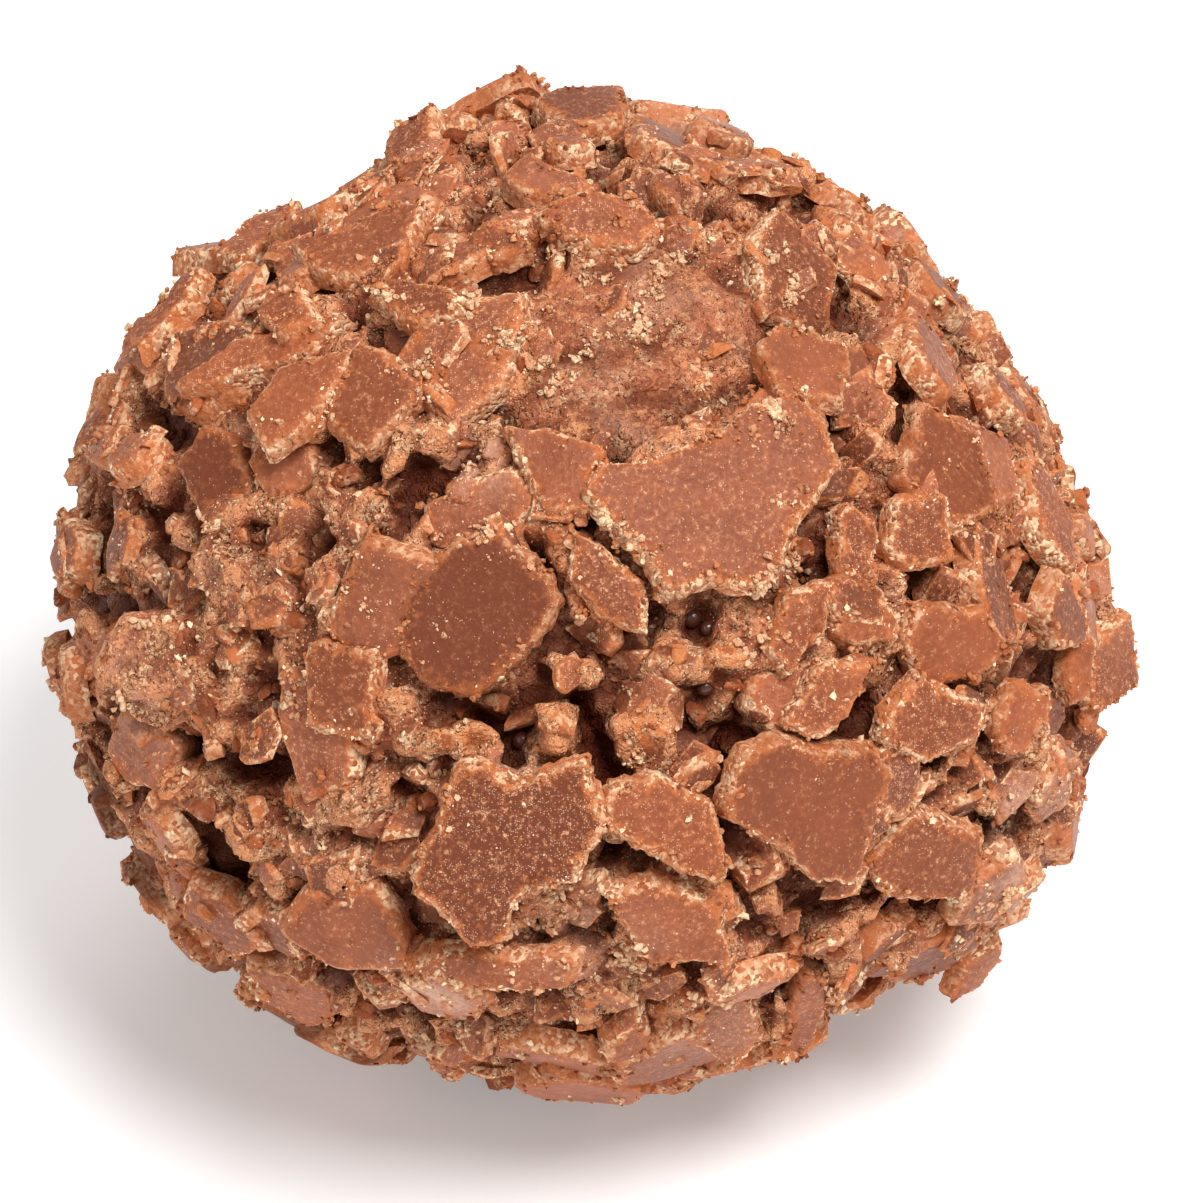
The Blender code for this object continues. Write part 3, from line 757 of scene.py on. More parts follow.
warmSpots = [  # lumps of a warmer orange: x, y, radius
    (512, 362, 34), (524, 333, 20), (418, 346, 16), (435, 386, 16), (476, 306, 22), (868, 288, 30),
    (1083, 556, 26), (319, 311, 18), (466, 318, 14), (480, 352, 11), (708, 382, 14), (788, 294, 10),
    (262, 460, 20), (255, 988, 18), (462, 738, 38), (551, 712, 24), (553, 752, 22), (640, 730, 26),
    (165, 780, 24), (128, 765, 20), (722, 656, 24), (905, 797, 18),
]
paleBloomAndSheenSpots = [  # where the coat is paler: bloom, with painted sheen at the lower right: x, y, radius
    (1010, 830, 70), (985, 930, 55), (860, 1020, 50), (690, 110, 60), (110, 620, 50), (150, 690, 60),
    (960, 240, 50), (440, 985, 44), (1090, 600, 50), (600, 940, 50), (740, 1010, 60), (485, 458, 34),
]


def paint(obj):  # where a piece is warm, pale or part of the skirt, and how deep it lies; the pale layer partly carries painted sheen, the skirt and depth layers painted shade
    _, radius, directions = fromMiddle(obj)
    addLayer(obj, "depth", (coatRadii(directions) - radius) / mm)
    for label, rows in (("warm", warmSpots), ("bloom", paleBloomAndSheenSpots), ("skirt", skirt)):
        share = np.zeros(len(directions))
        for place, reach in spots(rows):
            away = anglesTo(place, directions) * (ball["radius"] / reach)
            share = np.maximum(share, np.exp(-(away ** 2)))
        addLayer(obj, label, share)


def ridges(obj, rounds):  # how far each point stands out of its smoothed surroundings
    mesh = obj.data
    edges = np.empty(len(mesh.edges) * 2, np.int64)
    mesh.edges.foreach_get("vertices", edges)
    first, second = edges.reshape(-1, 2).T
    normals = np.empty(len(mesh.vertices) * 3)
    mesh.vertices.foreach_get("normal", normals)
    start = coordinates(obj)
    count = len(start)
    share = np.bincount(first, minlength=count) + np.bincount(second, minlength=count)
    soft = start.copy()
    for _ in range(rounds):
        total = np.zeros_like(soft)
        for axis in range(3):
            total[:, axis] = np.bincount(first, soft[second, axis], count)
            total[:, axis] += np.bincount(second, soft[first, axis], count)
        soft = (soft + total / np.maximum(share, 1)[:, None]) / 2
    return ((start - soft) * normals.reshape(-1, 3)).sum(axis=1) / mm


ridge = ridges(coatPiece, coat["ridgeRounds"])
print("ridge spread:", np.percentile(ridge, (5, 25, 50, 75, 95)).round(3))
addLayer(coatPiece, "ridge", ridge)
makeActive(coatPiece)
bpy.ops.object.shade_smooth()
print("coat finished")


def surfaceOf(objects):
    vertices, faces, owner, edges, first = [], [], [], [], 0
    for obj in objects:
        mesh = obj.data
        edge = np.zeros(len(mesh.vertices))
        if "edge" in mesh.attributes:
            mesh.attributes["edge"].data.foreach_get("value", edge)
        vertices += [tuple(v.co) for v in mesh.vertices]
        for polygon in mesh.polygons:
            corners = list(polygon.vertices)
            faces.append(tuple(first + i for i in corners))
            owner.append(obj.name)
            edges.append(float(edge[corners].max()))
        first = len(vertices)
    return BVHTree.FromPolygons(vertices, faces), owner, edges


surface = surfaceOf([coatPiece, shownFlakes, looseFlakes])
fall = {
    "from": 20 * mm,
    "lowest": -0.82,  # nothing lies under the truffle
    "lowestRim": -0.85,
    "rimEdge": 0.6,  # a flake's face is less of an edge than this
    "scatter": 0.03,
    "run": 1.3 * mm,  # how long the crumbly runs of a rim are
}


def dropOn(direction):  # where what falls in from a direction comes to rest, and on what
    tree, owner, edges = surface
    place, normal, face, _ = tree.ray_cast(middle + direction * fall["from"], -direction)
    if place is None:
        return None
    return place, normal, owner[face], edges[face]


def randomPlaces(count, seed, keep):
    rng = random.Random(seed)
    places = []
    for k in range(count):
        direction = spiralDirection(k, count, rng)
        direction = (direction + gaussVector(rng, fall["scatter"])).normalized()
        hit = dropOn(direction)
        if direction.z < fall["lowest"] or hit is None:
            continue
        if inCavity(direction) or inCrease(direction):
            continue
        if rng.random() < keep(direction, *hit):
            places.append(hit[:2])
    return places


def rimPlaces(maker, perMillimetre, spread, seed):  # along the flakes' broken rims, in runs
    rng = random.Random(seed)
    places = []
    for k, (soft, *_) in enumerate(maker.outlines):
        length = sum((soft[k] - soft[k - 1]).length for k in range(len(soft)))
        for _ in range(int(length / mm * perMillimetre)):
            at = rng.choice(soft)
            run = noise.noise((at - middle) / fall["run"] + Vector((seed, k, 0)))
            if run + rng.uniform(-0.35, 0.35) < -0.05:
                continue
            direction = (at + gaussVector(rng, spread) - middle).normalized()
            hit = dropOn(direction)
            smooth = bareness(direction) > bareFade["bare"] and rng.random() < 0.75
            if hit is not None and direction.z > fall["lowestRim"] and not smooth:
                places.append(hit[:2])
    return places


def fallenPlaces(row, keep):  # on the rims of both kinds of flakes, then anywhere
    places = rimPlaces(shown, row["rims"][0], row["spread"][0], row["seed"] + 1)
    places += rimPlaces(looseMaker, row["rims"][1], row["spread"][1], row["seed"] + 2)
    places += randomPlaces(row["tries"], row["seed"] + 3, keep)
    random.Random(row["shuffle"]).shuffle(places)
    return places


def clusters(place, size, shift):  # 0 to 1, in patches of about this size
    wave = noise.noise(place / (size * mm) + Vector((shift, 0, 0)))
    return min(max(0.5 + wave * 1.6, 0.0), 1.0)


def sizeOf(row, draw):  # small ones are the commonest
    least, most = row["size"]
    return (least + (most - least) * draw ** row["power"]) * mm


def stonesObject(name, blocks, faces, tone, smoothAngle=50):
    vertices, allFaces = gather(blocks, faces)
    layers = {"tone": tone} if tone else None
    obj = meshObject(name, vertices.tolist(), allFaces.tolist(), layers, smoothAngle)
    keepInBox(obj)
    print(name + ":", len(blocks), "stones,", len(obj.data.polygons), "faces")
    return obj


rimPoints = np.array([point for soft, *_ in shown.outlines for point in soft])


def keepShard(direction, place, normal, owner, edge):
    if bareness(direction) > 0.5:
        return 0.05
    if owner == "shownFlakes":
        return 0.0 if edge < fall["rimEdge"] else 0.15
    if np.linalg.norm(rimPoints - np.array(place), axis=1).min() < 0.75 * mm:
        return 0.3
    if owner == "looseFlakes":
        return 0.15 if edge < fall["rimEdge"] else 0.6
    return 1.0


shard = {
    "tries": 1500, "size": (0.35, 1.3), "power": 1.6, "breaks": 10, "lean": 0.35,
    "proportions": ((0.8, 0.6, 0.4), (1.35, 1.1, 0.9)), "tone": (0.05, 0.8),
    "standOut": 0.50 * mm, "drawnIn": 0.75,
}
shardUnit, shardFaces = unitBall(2)
rng = np.random.default_rng(31)
blocks, tone = [], []
for place, normal in randomPlaces(shard["tries"], 21, keepShard):
    size = sizeOf(shard, rng.random()) / 2
    proportions = rng.uniform(*shard["proportions"])
    lean = (normal + Vector(rng.normal(size=3) * shard["lean"])).normalized()
    shape = stone(shardUnit, rng, shard["breaks"])
    blocks.append(seated(shape, place, lean, size * proportions, rng.uniform(0, 6.3)))
    tone += [rng.uniform(*shard["tone"])] * len(shardUnit)
shards = stonesObject("shards", blocks, shardFaces, tone)

chip = {  # small broken plates lying every way
    "tries": 3400, "size": (0.6, 2.3), "power": 1.5, "thickness": (0.28, 0.55),
    "widthShare": (0.45, 0.9), "corners": (4, 5, 6), "lean": 0.24, "lift": (-0.10, 0.32),
    "rings": ((0.92, -1.0, 1.0), (1.0, -0.48, 1.0), (0.92, -0.13, 0.85), (0.68, 0.0, 0.1)),
}
rng = random.Random(32)
chipMaker = plateMaker()
for place, normal in randomPlaces(chip["tries"], 22, keepShard):
    size = sizeOf(chip, rng.random())
    thick = rng.uniform(*chip["thickness"]) * mm
    up = (normal + gaussVector(rng, chip["lean"])).normalized()
    across, along = turnedAxes(up, 0)
    centre = place + up * rng.uniform(*chip["lift"]) * thick
    width = size * rng.uniform(*chip["widthShare"])
    shape = brokenOutline(rng, size, width, rng.choice(chip["corners"]))
    outline = []
    for k in range(len(shape)):
        (x1, y1), (x2, y2) = shape[k - 1], shape[k]
        outline += [(x1 + (x2 - x1) * share, y1 + (y2 - y1) * share) for share in (0, 0.5)]
    look = (rng.uniform(0, 1), rng.uniform(0.4, 1))
    rings = []
    for spread, height, edgeValue in chip["rings"]:
        ring = []
        for x, y in outline:
            x, y = (v * spread * rng.uniform(0.88, 1.12) for v in (x, y))
            lift = height * thick + rng.uniform(-0.04, 0.04) * mm
            ring.append(centre + across * x + along * y + up * lift)
        rings.append((ring, edgeValue))
    chipMaker.addRings(rings, centre, look)
chips = chipMaker.finish("chips", 55)
for piece in (chips, shards):
    keepInBox(piece)
    drawIn(piece, shard["standOut"], shard["drawnIn"])
surface = surfaceOf([coatPiece, shownFlakes, looseFlakes, shards, chips])

heaps = [  # small heaps of crumbs on the plan: x, y, spread, how many
    (751, 435, 9, 22), (641, 319, 15, 46), (540, 253, 12, 16), (255, 988, 13, 16),
    (490, 530, 10, 10), (632, 756, 12, 12), (770, 520, 10, 10), (655, 590, 14, 14),
    (750, 640, 12, 14), (385, 600, 12, 12), (560, 380, 9, 12), (880, 655, 12, 12),
    (708, 382, 12, 16), (788, 294, 8, 12), (776, 260, 11, 14), (690, 244, 12, 14), (530, 304, 9, 12),
    (478, 318, 9, 12), (600, 268, 12, 14), (660, 280, 12, 12), (590, 340, 8, 10),
    (625, 540, 6, 10), (645, 562, 6, 10), (745, 590, 8, 12), (788, 560, 7, 12), (808, 516, 5, 8),
    (566, 900, 20, 26), (520, 934, 16, 22), (600, 876, 9, 12), (450, 962, 14, 12), (330, 842, 9, 8),
    (520, 150, 12, 14), (545, 168, 9, 10), (488, 200, 8, 8), (470, 470, 9, 9), (300, 690, 9, 8),
    (425, 372, 8, 10), (455, 402, 8, 8), (500, 350, 8, 10), (540, 364, 8, 10), (400, 318, 7, 8),
    (985, 880, 14, 14), (1010, 826, 12, 12), (560, 962, 14, 14), (630, 965, 14, 12),
    (700, 988, 12, 10), (872, 1000, 12, 10), (180, 620, 10, 10), (150, 700, 10, 10),
]
heapReach = 2.2  # times its spread
heapMiddles = [(dropOn(coatDirection(x, y))[0], spread * heapReach * plan["unit"])
               for x, y, spread, _ in heaps]


def keepCrumb(direction, place, normal, owner, edge):
    share = clusters(place, 1.4, 3.0)
    if bareness(direction) > bareFade["bare"]:
        return 0.2 * share
    if owner in ("shownFlakes", "looseFlakes") and edge < fall["rimEdge"]:
        return (0.10 if owner == "shownFlakes" else 0.45) * share
    return 0.15 + 0.85 * share


def crumbTone(rng, place):
    heaped = any((place - at).length < reach for at, reach in heapMiddles)
    tone = rng.beta(1.3, 2.2) * 0.6 + clusters(place, 0.8, 12.0) * 0.5
    return float(np.clip(max(tone, 0.72) if heaped else tone, 0, 1))


crumb = {  # clumps of small round grains
    "rims": (2.6, 1.0), "spread": (0.09 * mm, 0.14 * mm), "tries": 4500, "seed": 40, "shuffle": 5,
    "most": 1750, "size": (0.10, 0.50), "power": 1.8, "grain": (0.28, 0.62),
    "grainsPerMm": 22,
    "proportions": ((0.8, 0.7, 0.6), (1.25, 1.1, 1.0)),
}
crumbUnit, crumbFaces = unitBall(1)
rng = random.Random(17)
places = []
for x, y, spread, count in heaps:
    for _ in range(count):
        places.append(dropOn(coatDirection(rng.gauss(x, spread), rng.gauss(y, spread)))[:2])
places += fallenPlaces(crumb, keepCrumb)
rng = np.random.default_rng(44)
blocks, tone = [], []
for place, normal in places[:crumb["most"]]:
    size = sizeOf(crumb, rng.random()) / 2
    heapTone = crumbTone(rng, place)
    for k in range(2 + int(size / mm * crumb["grainsPerMm"])):
        grain = size * rng.uniform(*crumb["grain"])
        shift = Vector(rng.normal(size=3)) * size * 0.5
        lift = min(max(shift.dot(normal), 0), size * 0.5)
        seat = place + shift + normal * (lift - shift.dot(normal) + grain * 0.15)
        shape = crumbUnit * rng.uniform(0.65, 1.25, (len(crumbUnit), 1))
        lean = Vector(rng.normal(size=3)).normalized()
        proportions = rng.uniform(*crumb["proportions"])
        blocks.append(seated(shape, seat, lean, grain * proportions, rng.uniform(0, 6.3)))
        tone += [float(np.clip(heapTone + rng.normal() * 0.10, 0, 1))] * len(crumbUnit)
crumbs = stonesObject("crumbs", blocks, crumbFaces, tone)


def scatterGrains(name, row, unit, faces, keep, tones):  # single grains
    places = fallenPlaces(row, keep)
    rng = np.random.default_rng(row["seed"] + 4)
    blocks, tone = [], []
    for place, normal in places[:row["most"]]:
        grain = sizeOf(row, rng.random()) / 2
        shape = unit * rng.uniform(0.45, 1.35, (len(unit), 1))
        lean = Vector(rng.normal(size=3)).normalized()
        proportions = rng.uniform((0.8, 0.6, 0.4), (1.4, 1.1, 0.9))
        seat = place + normal * grain * rng.uniform(-0.3, 0.3)
        blocks.append(seated(shape, seat, lean, grain * proportions, rng.uniform(0, 6.3)))
        tone += [tones(rng, place)] * len(unit)
    return stonesObject(name, blocks, faces, tone)


def keepGrit(direction, place, normal, owner, edge):
    share = clusters(place, 1.1, 5.0) ** 1.5
    if owner in ("shownFlakes", "looseFlakes") and edge < fall["rimEdge"]:
        return 0.04 * share
    return 0.2 * share if bareness(direction) > 0.5 else 0.05 + 0.95 * share


def gritTone(rng, place):
    return float(np.clip(0.10 + 0.75 * clusters(place, 0.8, 12.0) + rng.normal() * 0.16, 0, 1))


gritLook = {
    "rims": (5, 1.5), "spread": (0.08 * mm, 0.12 * mm), "tries": 24000, "seed": 60, "shuffle": 8,
    "most": 9500, "size": (0.08, 0.28), "power": 1.8,
}
grit = scatterGrains("grit", gritLook, crumbUnit, crumbFaces, keepGrit, gritTone)


def keepDust(direction, place, normal, owner, edge):
    share = clusters(place, 0.9, 8.0) ** 1.5
    if bareness(direction) > bareFade["bare"]:
        return 0.2 * share
    onFace = owner in ("shownFlakes", "looseFlakes") and edge < fall["rimEdge"]
    return (0.20 if onFace else 0.95) * share + 0.02


def dustTone(rng, place):  # pale in patches
    return float(np.clip(1.25 * clusters(place, 0.8, 12.0) - 0.25 + rng.normal() * 0.16, 0, 1))


dustLook = {
    "rims": (16, 5), "spread": (0.06 * mm, 0.09 * mm), "tries": 30000, "seed": 50, "shuffle": 6,
    "most": 24000, "size": (0.03, 0.13), "power": 2.2,
}
dustUnit = np.array([(1, 0, 0), (-1, 0, 0), (0, 1, 0), (0, -1, 0), (0, 0, 1), (0, 0, -1)], float)
dustFaces = np.array([(0, 2, 4), (2, 1, 4), (1, 3, 4), (3, 0, 4), (2, 0, 5), (1, 2, 5), (3, 1, 5),
                      (0, 3, 5)])
dust = scatterGrains("dust", dustLook, dustUnit, dustFaces, keepDust, dustTone)

# glossy dark drops deep in the holes: plan x, y, radius in millimetres
drops = [
    (700, 618, 0.30), (714, 629, 0.22), (712, 690, 0.26), (590, 750, 0.24), (608, 772, 0.28),
    (951, 784, 0.24), (316, 434, 0.18), (518, 750, 0.26), (631, 707, 0.20),
]
deepEnough = 0.45 * mm
blocks = []
for x, y, radius in drops:
    direction = coatDirection(x, y)
    place, _, owner, _ = dropOn(direction)
    if owner != "coat" or coatRadius(direction) - (place - middle).length < deepEnough:
        continue
    seat = place + direction * radius * 0.1 * mm
    blocks.append(seated(lumpUnit, seat, direction, np.array([1, 0.9, 0.85]) * radius * mm, 0.0))
darkDrops = stonesObject("darkDrops", blocks, lumpFaces, None, 180)


class nodeBench:  # a small helper to wire one material
    def __init__(self, name):
        self.material = bpy.data.materials.new(name)
        self.material.use_nodes = True
        self.tree = self.material.node_tree
        self.shader = self.tree.nodes["Principled BSDF"]

    def add(self, kind, inputs, **settings):
        node = self.tree.nodes.new(kind)
        for key, value in settings.items():
            setattr(node, key, value)
        for key, value in inputs.items():
            self.feed(node.inputs[key], value)
        return node

    def feed(self, socket, value):
        if isinstance(value, bpy.types.NodeSocket):
            self.tree.links.new(value, socket)
        else:
            socket.default_value = value

    def coordinates(self):
        return self.add("ShaderNodeTexCoord", {}).outputs["Object"]

    def noise(self, size, detail=3, roughness=0.55, shift=0.0):
        place = self.add("ShaderNodeMapping", {
            "Vector": self.coordinates(), "Location": (shift, shift, shift)}).outputs[0]
        return self.add("ShaderNodeTexNoise", {
            "Vector": place, "Scale": 1 / (size * mm), "Detail": detail,
            "Roughness": roughness}).outputs["Fac"]

    def grains(self, size):  # round grains: how far from the middle of one, and two tones of it
        node = self.add("ShaderNodeTexVoronoi", {
            "Vector": self.coordinates(), "Scale": 1 / (size * mm)})
        own = self.add("ShaderNodeSeparateColor", {"Color": node.outputs["Color"]})
        return node.outputs["Distance"], own.outputs["Red"], own.outputs["Green"]

    def specks(self, size, share, radius):  # scattered grains, this share of them
        distance, own, _ = self.grains(size)
        kept = self.maths("LESS_THAN", own, share)
        return self.times(kept, self.span(distance, radius, radius * 0.6))

    def layer(self, name):
        return self.add("ShaderNodeAttribute", {}, attribute_name=name).outputs["Fac"]

    def span(self, value, low, high, toLow=0.0, toHigh=1.0):
        return self.add("ShaderNodeMapRange", {
            "Value": value, "From Min": low, "From Max": high,
            "To Min": toLow, "To Max": toHigh}).outputs[0]

    def maths(self, operation, first, second):
        return self.add("ShaderNodeMath", {0: first, 1: second}, operation=operation).outputs[0]

    def times(self, first, second):
        return self.maths("MULTIPLY", first, second)

    def plus(self, first, second):
        return self.maths("ADD", first, second)

    def blend(self, share, first, second):
        return self.add("ShaderNodeMix", {"Factor": share, "A": first, "B": second},
                        data_type="RGBA").outputs["Result"]

    def bump(self, height, distance, strength=1.0, below=None):
        inputs = {"Height": height, "Distance": distance * mm, "Strength": strength}
        if below is not None:
            inputs["Normal"] = below
        return self.add("ShaderNodeBump", inputs).outputs[0]

    def pebbled(self, distance, where, height, below):  # the round grains stand up a little
        raised = self.times(self.span(distance, 0.7, 0.0), where)
        return self.bump(raised, height, 0.9, below)

    def finish(self, colour, roughness, normal, gloss=0.2):
        # painted shade: the skirt at the lower left, the underside, darkened to a dull brown
        skirtShade = self.span(self.layer("skirt"), 0.25, 0.6, 0.0, 0.8)
        colour = self.blend(skirtShade, colour, rgb(104, 54, 33))
        # painted shade: the deeper a piece lies under the coat's face, the darker, towards a
        # near-black brown
        deep = self.span(self.layer("depth"), 0.12, 0.80, 0.0, 0.88)
        colour = self.blend(deep, colour, rgb(70, 24, 10))
        for key, value in (("Base Color", colour), ("Roughness", roughness), ("Normal", normal),
                           ("IOR", 1.45), ("Specular IOR Level", gloss)):
            self.feed(self.shader.inputs[key], value)
        return self.material


def rgb(red, green, blue):  # from screen colours to linear ones
    def straight(value):
        value /= 255
        return value / 12.92 if value <= 0.04045 else ((value + 0.055) / 1.055) ** 2.4
    return (straight(red), straight(green), straight(blue), 1.0)


cream = rgb(255, 228, 188)


def flakeChocolate(name, dark, light, paleAndWarmShare):
    bench = nodeBench(name)
    tone, edge, dusty = bench.layer("tone"), bench.layer("edge"), bench.layer("dusty")
    colour = bench.blend(tone, dark, light)
    cloudy = bench.noise(1.1, 3, 0.6)
    colour = bench.blend(bench.span(cloudy, 0.38, 0.66, 0.0, 0.5), colour, dark)
    mottle = bench.noise(0.16, 2, 0.7, 0.15)
    blotches = bench.span(dusty, 0.1, 0.6, 0.12, 0.45)
    pale = bench.times(bench.span(mottle, 0.50, 0.70), blotches)
    colour = bench.blend(pale, colour, rgb(212, 142, 100))
    # painted sheen mixed with bloom: pale pink where the pale layer is
    frostAndSheen = bench.times(bench.layer("bloom"), bench.span(cloudy, 0.35, 0.6, 0.2, paleAndWarmShare))
    colour = bench.blend(frostAndSheen, colour, rgb(222, 172, 146))
    warm = bench.span(bench.layer("warm"), 0.3, 0.8, 0.0, paleAndWarmShare * 0.45)
    colour = bench.blend(warm, colour, rgb(214, 118, 56))
    colour = bench.blend(bench.times(bench.span(mottle, 0.48, 0.28), blotches), colour, dark)
    # the worn rim, a warmer orange
    wander = bench.span(bench.noise(0.28, 3, 0.7), 0.3, 0.7, -0.45, 0.45)
    worn = bench.span(bench.plus(edge, wander), 0.30, 0.85)
    wornShare = bench.times(worn, bench.span(dusty, 0.0, 1.0, 0.45, 0.8))
    colour = bench.blend(wornShare, colour, rgb(208, 116, 60))
    # specks and flecks on the face
    runs = bench.span(bench.noise(1.0, 3, shift=0.35), 0.40, 0.60)
    few = bench.plus(bench.times(bench.maths("POWER", dusty, 3.0), 0.8),
                     bench.times(bench.times(worn, runs), 0.45))
    drift = bench.span(bench.noise(0.5, 3, 0.7, 0.7), 0.40, 0.62, 0.12, 0.8)
    specks = bench.specks(0.055, bench.times(bench.plus(few, 0.09), drift), 0.38)
    flecks = bench.times(bench.span(mottle, 0.62, 0.67), drift)
    flecks = bench.times(flecks, bench.span(dusty, 0.0, 0.6, 0.15, 1.0))
    colour = bench.blend(bench.times(flecks, 0.7), colour, rgb(234, 178, 136))
    colour = bench.blend(bench.times(specks, 0.6), colour, rgb(240, 200, 166))
    # the crumbling edge
    distance, own, second = bench.grains(0.12)
    crumbly = bench.blend(bench.span(bench.times(own, second), 0.0, 0.5), rgb(168, 92, 54),
                          rgb(255, 222, 180))
    rim = bench.span(bench.plus(edge, bench.times(wander, 0.5)), 0.58, 0.80)
    rim = bench.times(rim, bench.span(runs, 0.0, 1.0, 0.12, 1.0))
    rim = bench.times(rim, bench.span(dusty, 0.0, 0.5, 0.3, 0.95))
    colour = bench.blend(rim, colour, crumbly)
    roughness = bench.span(bench.plus(worn, specks), 0.0, 1.0, 0.44, 0.8)
    normal = bench.pebbled(distance, rim, 0.06, bench.bump(cloudy, 0.22, 0.6))
    return bench.finish(colour, roughness, bench.bump(mottle, 0.07, 0.7, normal))


def coatChocolate():
    bench = nodeBench("coatChocolate")
    ridge, depth, bare = bench.layer("ridge"), bench.layer("depth"), bench.layer("bare")
    broad = bench.noise(1.3, 3, 0.62)
    colour = bench.blend(bench.span(broad, 0.36, 0.64), rgb(126, 68, 44), rgb(184, 108, 76))
    # pale bloom in patches, and painted sheen in the pale spots
    spots = bench.span(bench.layer("bloom"), 0.1, 0.9, 0.0, 0.7)
    bloom = bench.maths("MAXIMUM", bench.span(bench.noise(2.6, 3, 0.6, 0.9), 0.50, 0.66, 0.0, 0.4),
                        bench.times(spots, bench.span(broad, 0.35, 0.65, 0.4, 1.0)))
    colour = bench.blend(bloom, colour, rgb(218, 162, 134))
    warm = bench.span(bench.layer("warm"), 0.3, 0.8, 0.0, 0.75)
    colour = bench.blend(warm, colour, rgb(214, 124, 66))
    # painted shade in the dips, light on the crests
    colour = bench.blend(bench.span(ridge, 0.02, -0.12, 0.0, 0.75), colour, rgb(96, 42, 22))
    fine = bench.noise(0.26, 3, 0.7, 0.6)
    crest = bench.span(bench.plus(ridge, bench.span(fine, 0.3, 0.7, -0.1, 0.1)), 0.02, 0.13)
    colour = bench.blend(bench.times(crest, 0.75), colour, rgb(230, 156, 108))
    # crumbly patches and specks, but not deep down
    high = bench.span(depth, 0.9, 0.3)
    patches = bench.span(bench.noise(0.9, 3, 0.65, 0.2), 0.47, 0.58)
    patches = bench.times(patches, bench.span(bare, 0.0, 1.0, 1.0, 0.7))
    patches = bench.times(patches, high)
    distance, own, second = bench.grains(0.13)
    crumbly = bench.blend(bench.span(bench.times(own, second), 0.0, 0.6), rgb(150, 76, 44),
                          rgb(252, 204, 158))
    colour = bench.blend(bench.times(patches, 0.65), colour, crumbly)
    specks = bench.specks(0.07, bench.span(broad, 0.4, 0.6, 0.08, 0.30), 0.40)
    specks = bench.times(specks, bench.span(bare, 0.0, 1.0, 1.0, 0.3))
    specks = bench.times(specks, high)
    colour = bench.blend(bench.times(specks, 0.8), colour, cream)
    deep = bench.span(depth, 0.42, 1.15)
    roughness = bench.span(bench.maths("SUBTRACT", deep, patches), -1.0, 1.0, 0.85, 0.32)
    normal = bench.bump(bench.noise(0.42, 3, 0.68), 0.45, 0.9)
    normal = bench.pebbled(distance, patches, 0.10, normal)
    return bench.finish(colour, roughness, bench.bump(fine, 0.14, 0.8, normal), 0.12)


def threeTones(bench, dark, mid, light):  # by each crumb's own tone
    tone = bench.layer("tone")
    colour = bench.blend(bench.span(tone, 0.0, 0.5), dark, mid)
    return bench.blend(bench.span(tone, 0.5, 1.0), colour, light)


def crumbChocolate(name, dark, mid, light, share):
    bench = nodeBench(name)
    colour = threeTones(bench, dark, mid, light)
    patches = bench.span(bench.noise(0.7, 2, 0.6), 0.46, 0.58)
    distance, own, second = bench.grains(0.13)
    crumbly = bench.blend(bench.times(own, second), mid, cream)
    colour = bench.blend(bench.times(patches, share), colour, crumbly)
    normal = bench.bump(bench.noise(0.30, 2, 0.65), 0.30, 0.8)
    return bench.finish(colour, 0.62, bench.pebbled(distance, patches, 0.08, normal), 0.12)


def dustChocolate():
    bench = nodeBench("dustChocolate")
    colour = threeTones(bench, rgb(196, 118, 70), rgb(238, 180, 130), rgb(255, 232, 206))
    return bench.finish(colour, 0.7, bench.bump(bench.noise(0.1, 1), 0.03), 0.1)


def dropChocolate():
    bench = nodeBench("dropChocolate")
    normal = bench.bump(bench.noise(0.25, 3), 0.05, 0.5)
    return bench.finish(rgb(88, 54, 44), 0.22, normal, 0.6)


chipFinish = flakeChocolate("chipChocolate", rgb(112, 60, 40), rgb(178, 104, 72), 0.8)
crumbFinish = crumbChocolate("crumbChocolate", rgb(136, 72, 44), rgb(204, 126, 80),
                             rgb(255, 230, 190), 0.4)
dressed = [
    (coatPiece, coatChocolate()),
    (shownFlakes, flakeChocolate("flakeChocolate", rgb(116, 60, 38), rgb(176, 98, 62), 0.25)),
    (looseFlakes, chipFinish),
    (chips, chipFinish),
    (shards, crumbChocolate("shardChocolate", rgb(122, 60, 35), rgb(180, 98, 58),
                            rgb(226, 146, 92), 0.5)),
    (crumbs, crumbFinish),
    (grit, crumbFinish),
    (dust, dustChocolate()),
    (darkDrops, dropChocolate()),
]
total = 0
for piece, finish in dressed:
    keepInBox(piece)
    paint(piece)
    piece.data.materials.append(finish)
    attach(piece, "root")
    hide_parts("truffle")
    total += sum(len(p.vertices) - 2 for p in piece.data.polygons)
print("triangles:", total)

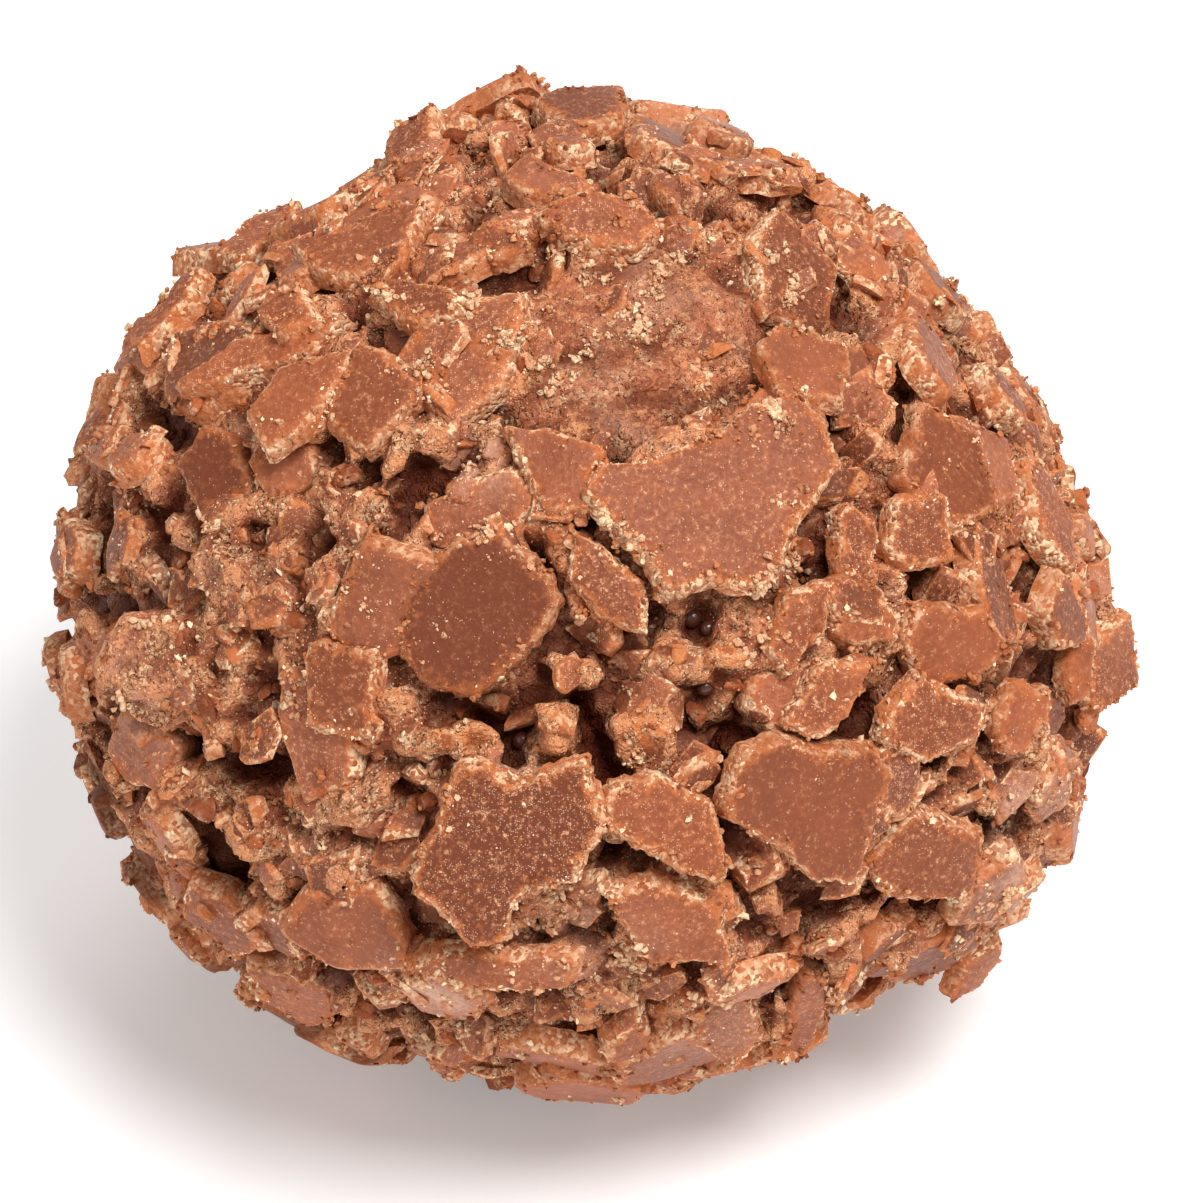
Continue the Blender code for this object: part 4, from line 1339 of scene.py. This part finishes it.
floorLook = {
    "size": 4, "height": -0.05 * mm, "Base Color": (0.9, 0.9, 0.9, 1), "Roughness": 0.9,
    "Emission Color": (1, 1, 1, 1), "Emission Strength": 0.22,
}
deselectAll()
bpy.ops.mesh.primitive_plane_add(size=floorLook["size"], location=(0, 0, floorLook["height"]))
floor = bpy.context.object
floor.name = "floor"
paleFloor = bpy.data.materials.new("paleFloor")
paleFloor.use_nodes = True
for key in ("Base Color", "Roughness", "Emission Color", "Emission Strength"):
    paleFloor.node_tree.nodes["Principled BSDF"].inputs[key].default_value = floorLook[key]
floor.data.materials.append(paleFloor)

lights = {  # turn from the front, height above the horizon, distance, size, watts
    "key": (38, 62, 0.40, 0.18, 1.58),
    "fill": (-50, 35, 0.45, 0.30, 0.22),
    "back": (170, 50, 0.45, 0.25, 0.6),
}
for name, (turn, height, distance, size, watts) in lights.items():
    turn, height = math.radians(turn), math.radians(height)
    direction = Vector((math.sin(turn) * math.cos(height), -math.cos(turn) * math.cos(height),
                        math.sin(height)))
    lamp = bpy.data.lights.new(name, "AREA")
    lamp.shape = "DISK"
    lamp.size = size
    lamp.energy = watts
    obj = bpy.data.objects.new(name, lamp)
    obj.location = middle + direction * distance
    obj.rotation_euler = direction.to_track_quat("Z", "Y").to_euler()
    bpy.context.scene.collection.objects.link(obj)

world = bpy.data.worlds.new("studio")
world.use_nodes = True
world.node_tree.nodes["Background"].inputs["Color"].default_value = (1, 1, 1, 1)
world.node_tree.nodes["Background"].inputs["Strength"].default_value = 0.37
bpy.context.scene.world = world
bpy.context.scene.view_settings.view_transform = "Standard"

camera = {"lens": 300, "sensor": 36, "nearest": 0.01, "aimRight": 0.466 * mm, "aimUp": 0.123 * mm}
lens = bpy.data.cameras.new("camera")
lens.lens = camera["lens"]
lens.sensor_width = camera["sensor"]
lens.clip_start = camera["nearest"]
cameraObject = bpy.data.objects.new("camera", lens)
aim = middle + rightwards * camera["aimRight"] + upwards * camera["aimUp"]
cameraObject.location = aim + outwards * plan["distance"]
cameraObject.rotation_euler = outwards.to_track_quat("Z", "Y").to_euler()
bpy.context.scene.collection.objects.link(cameraObject)
bpy.context.scene.camera = cameraObject
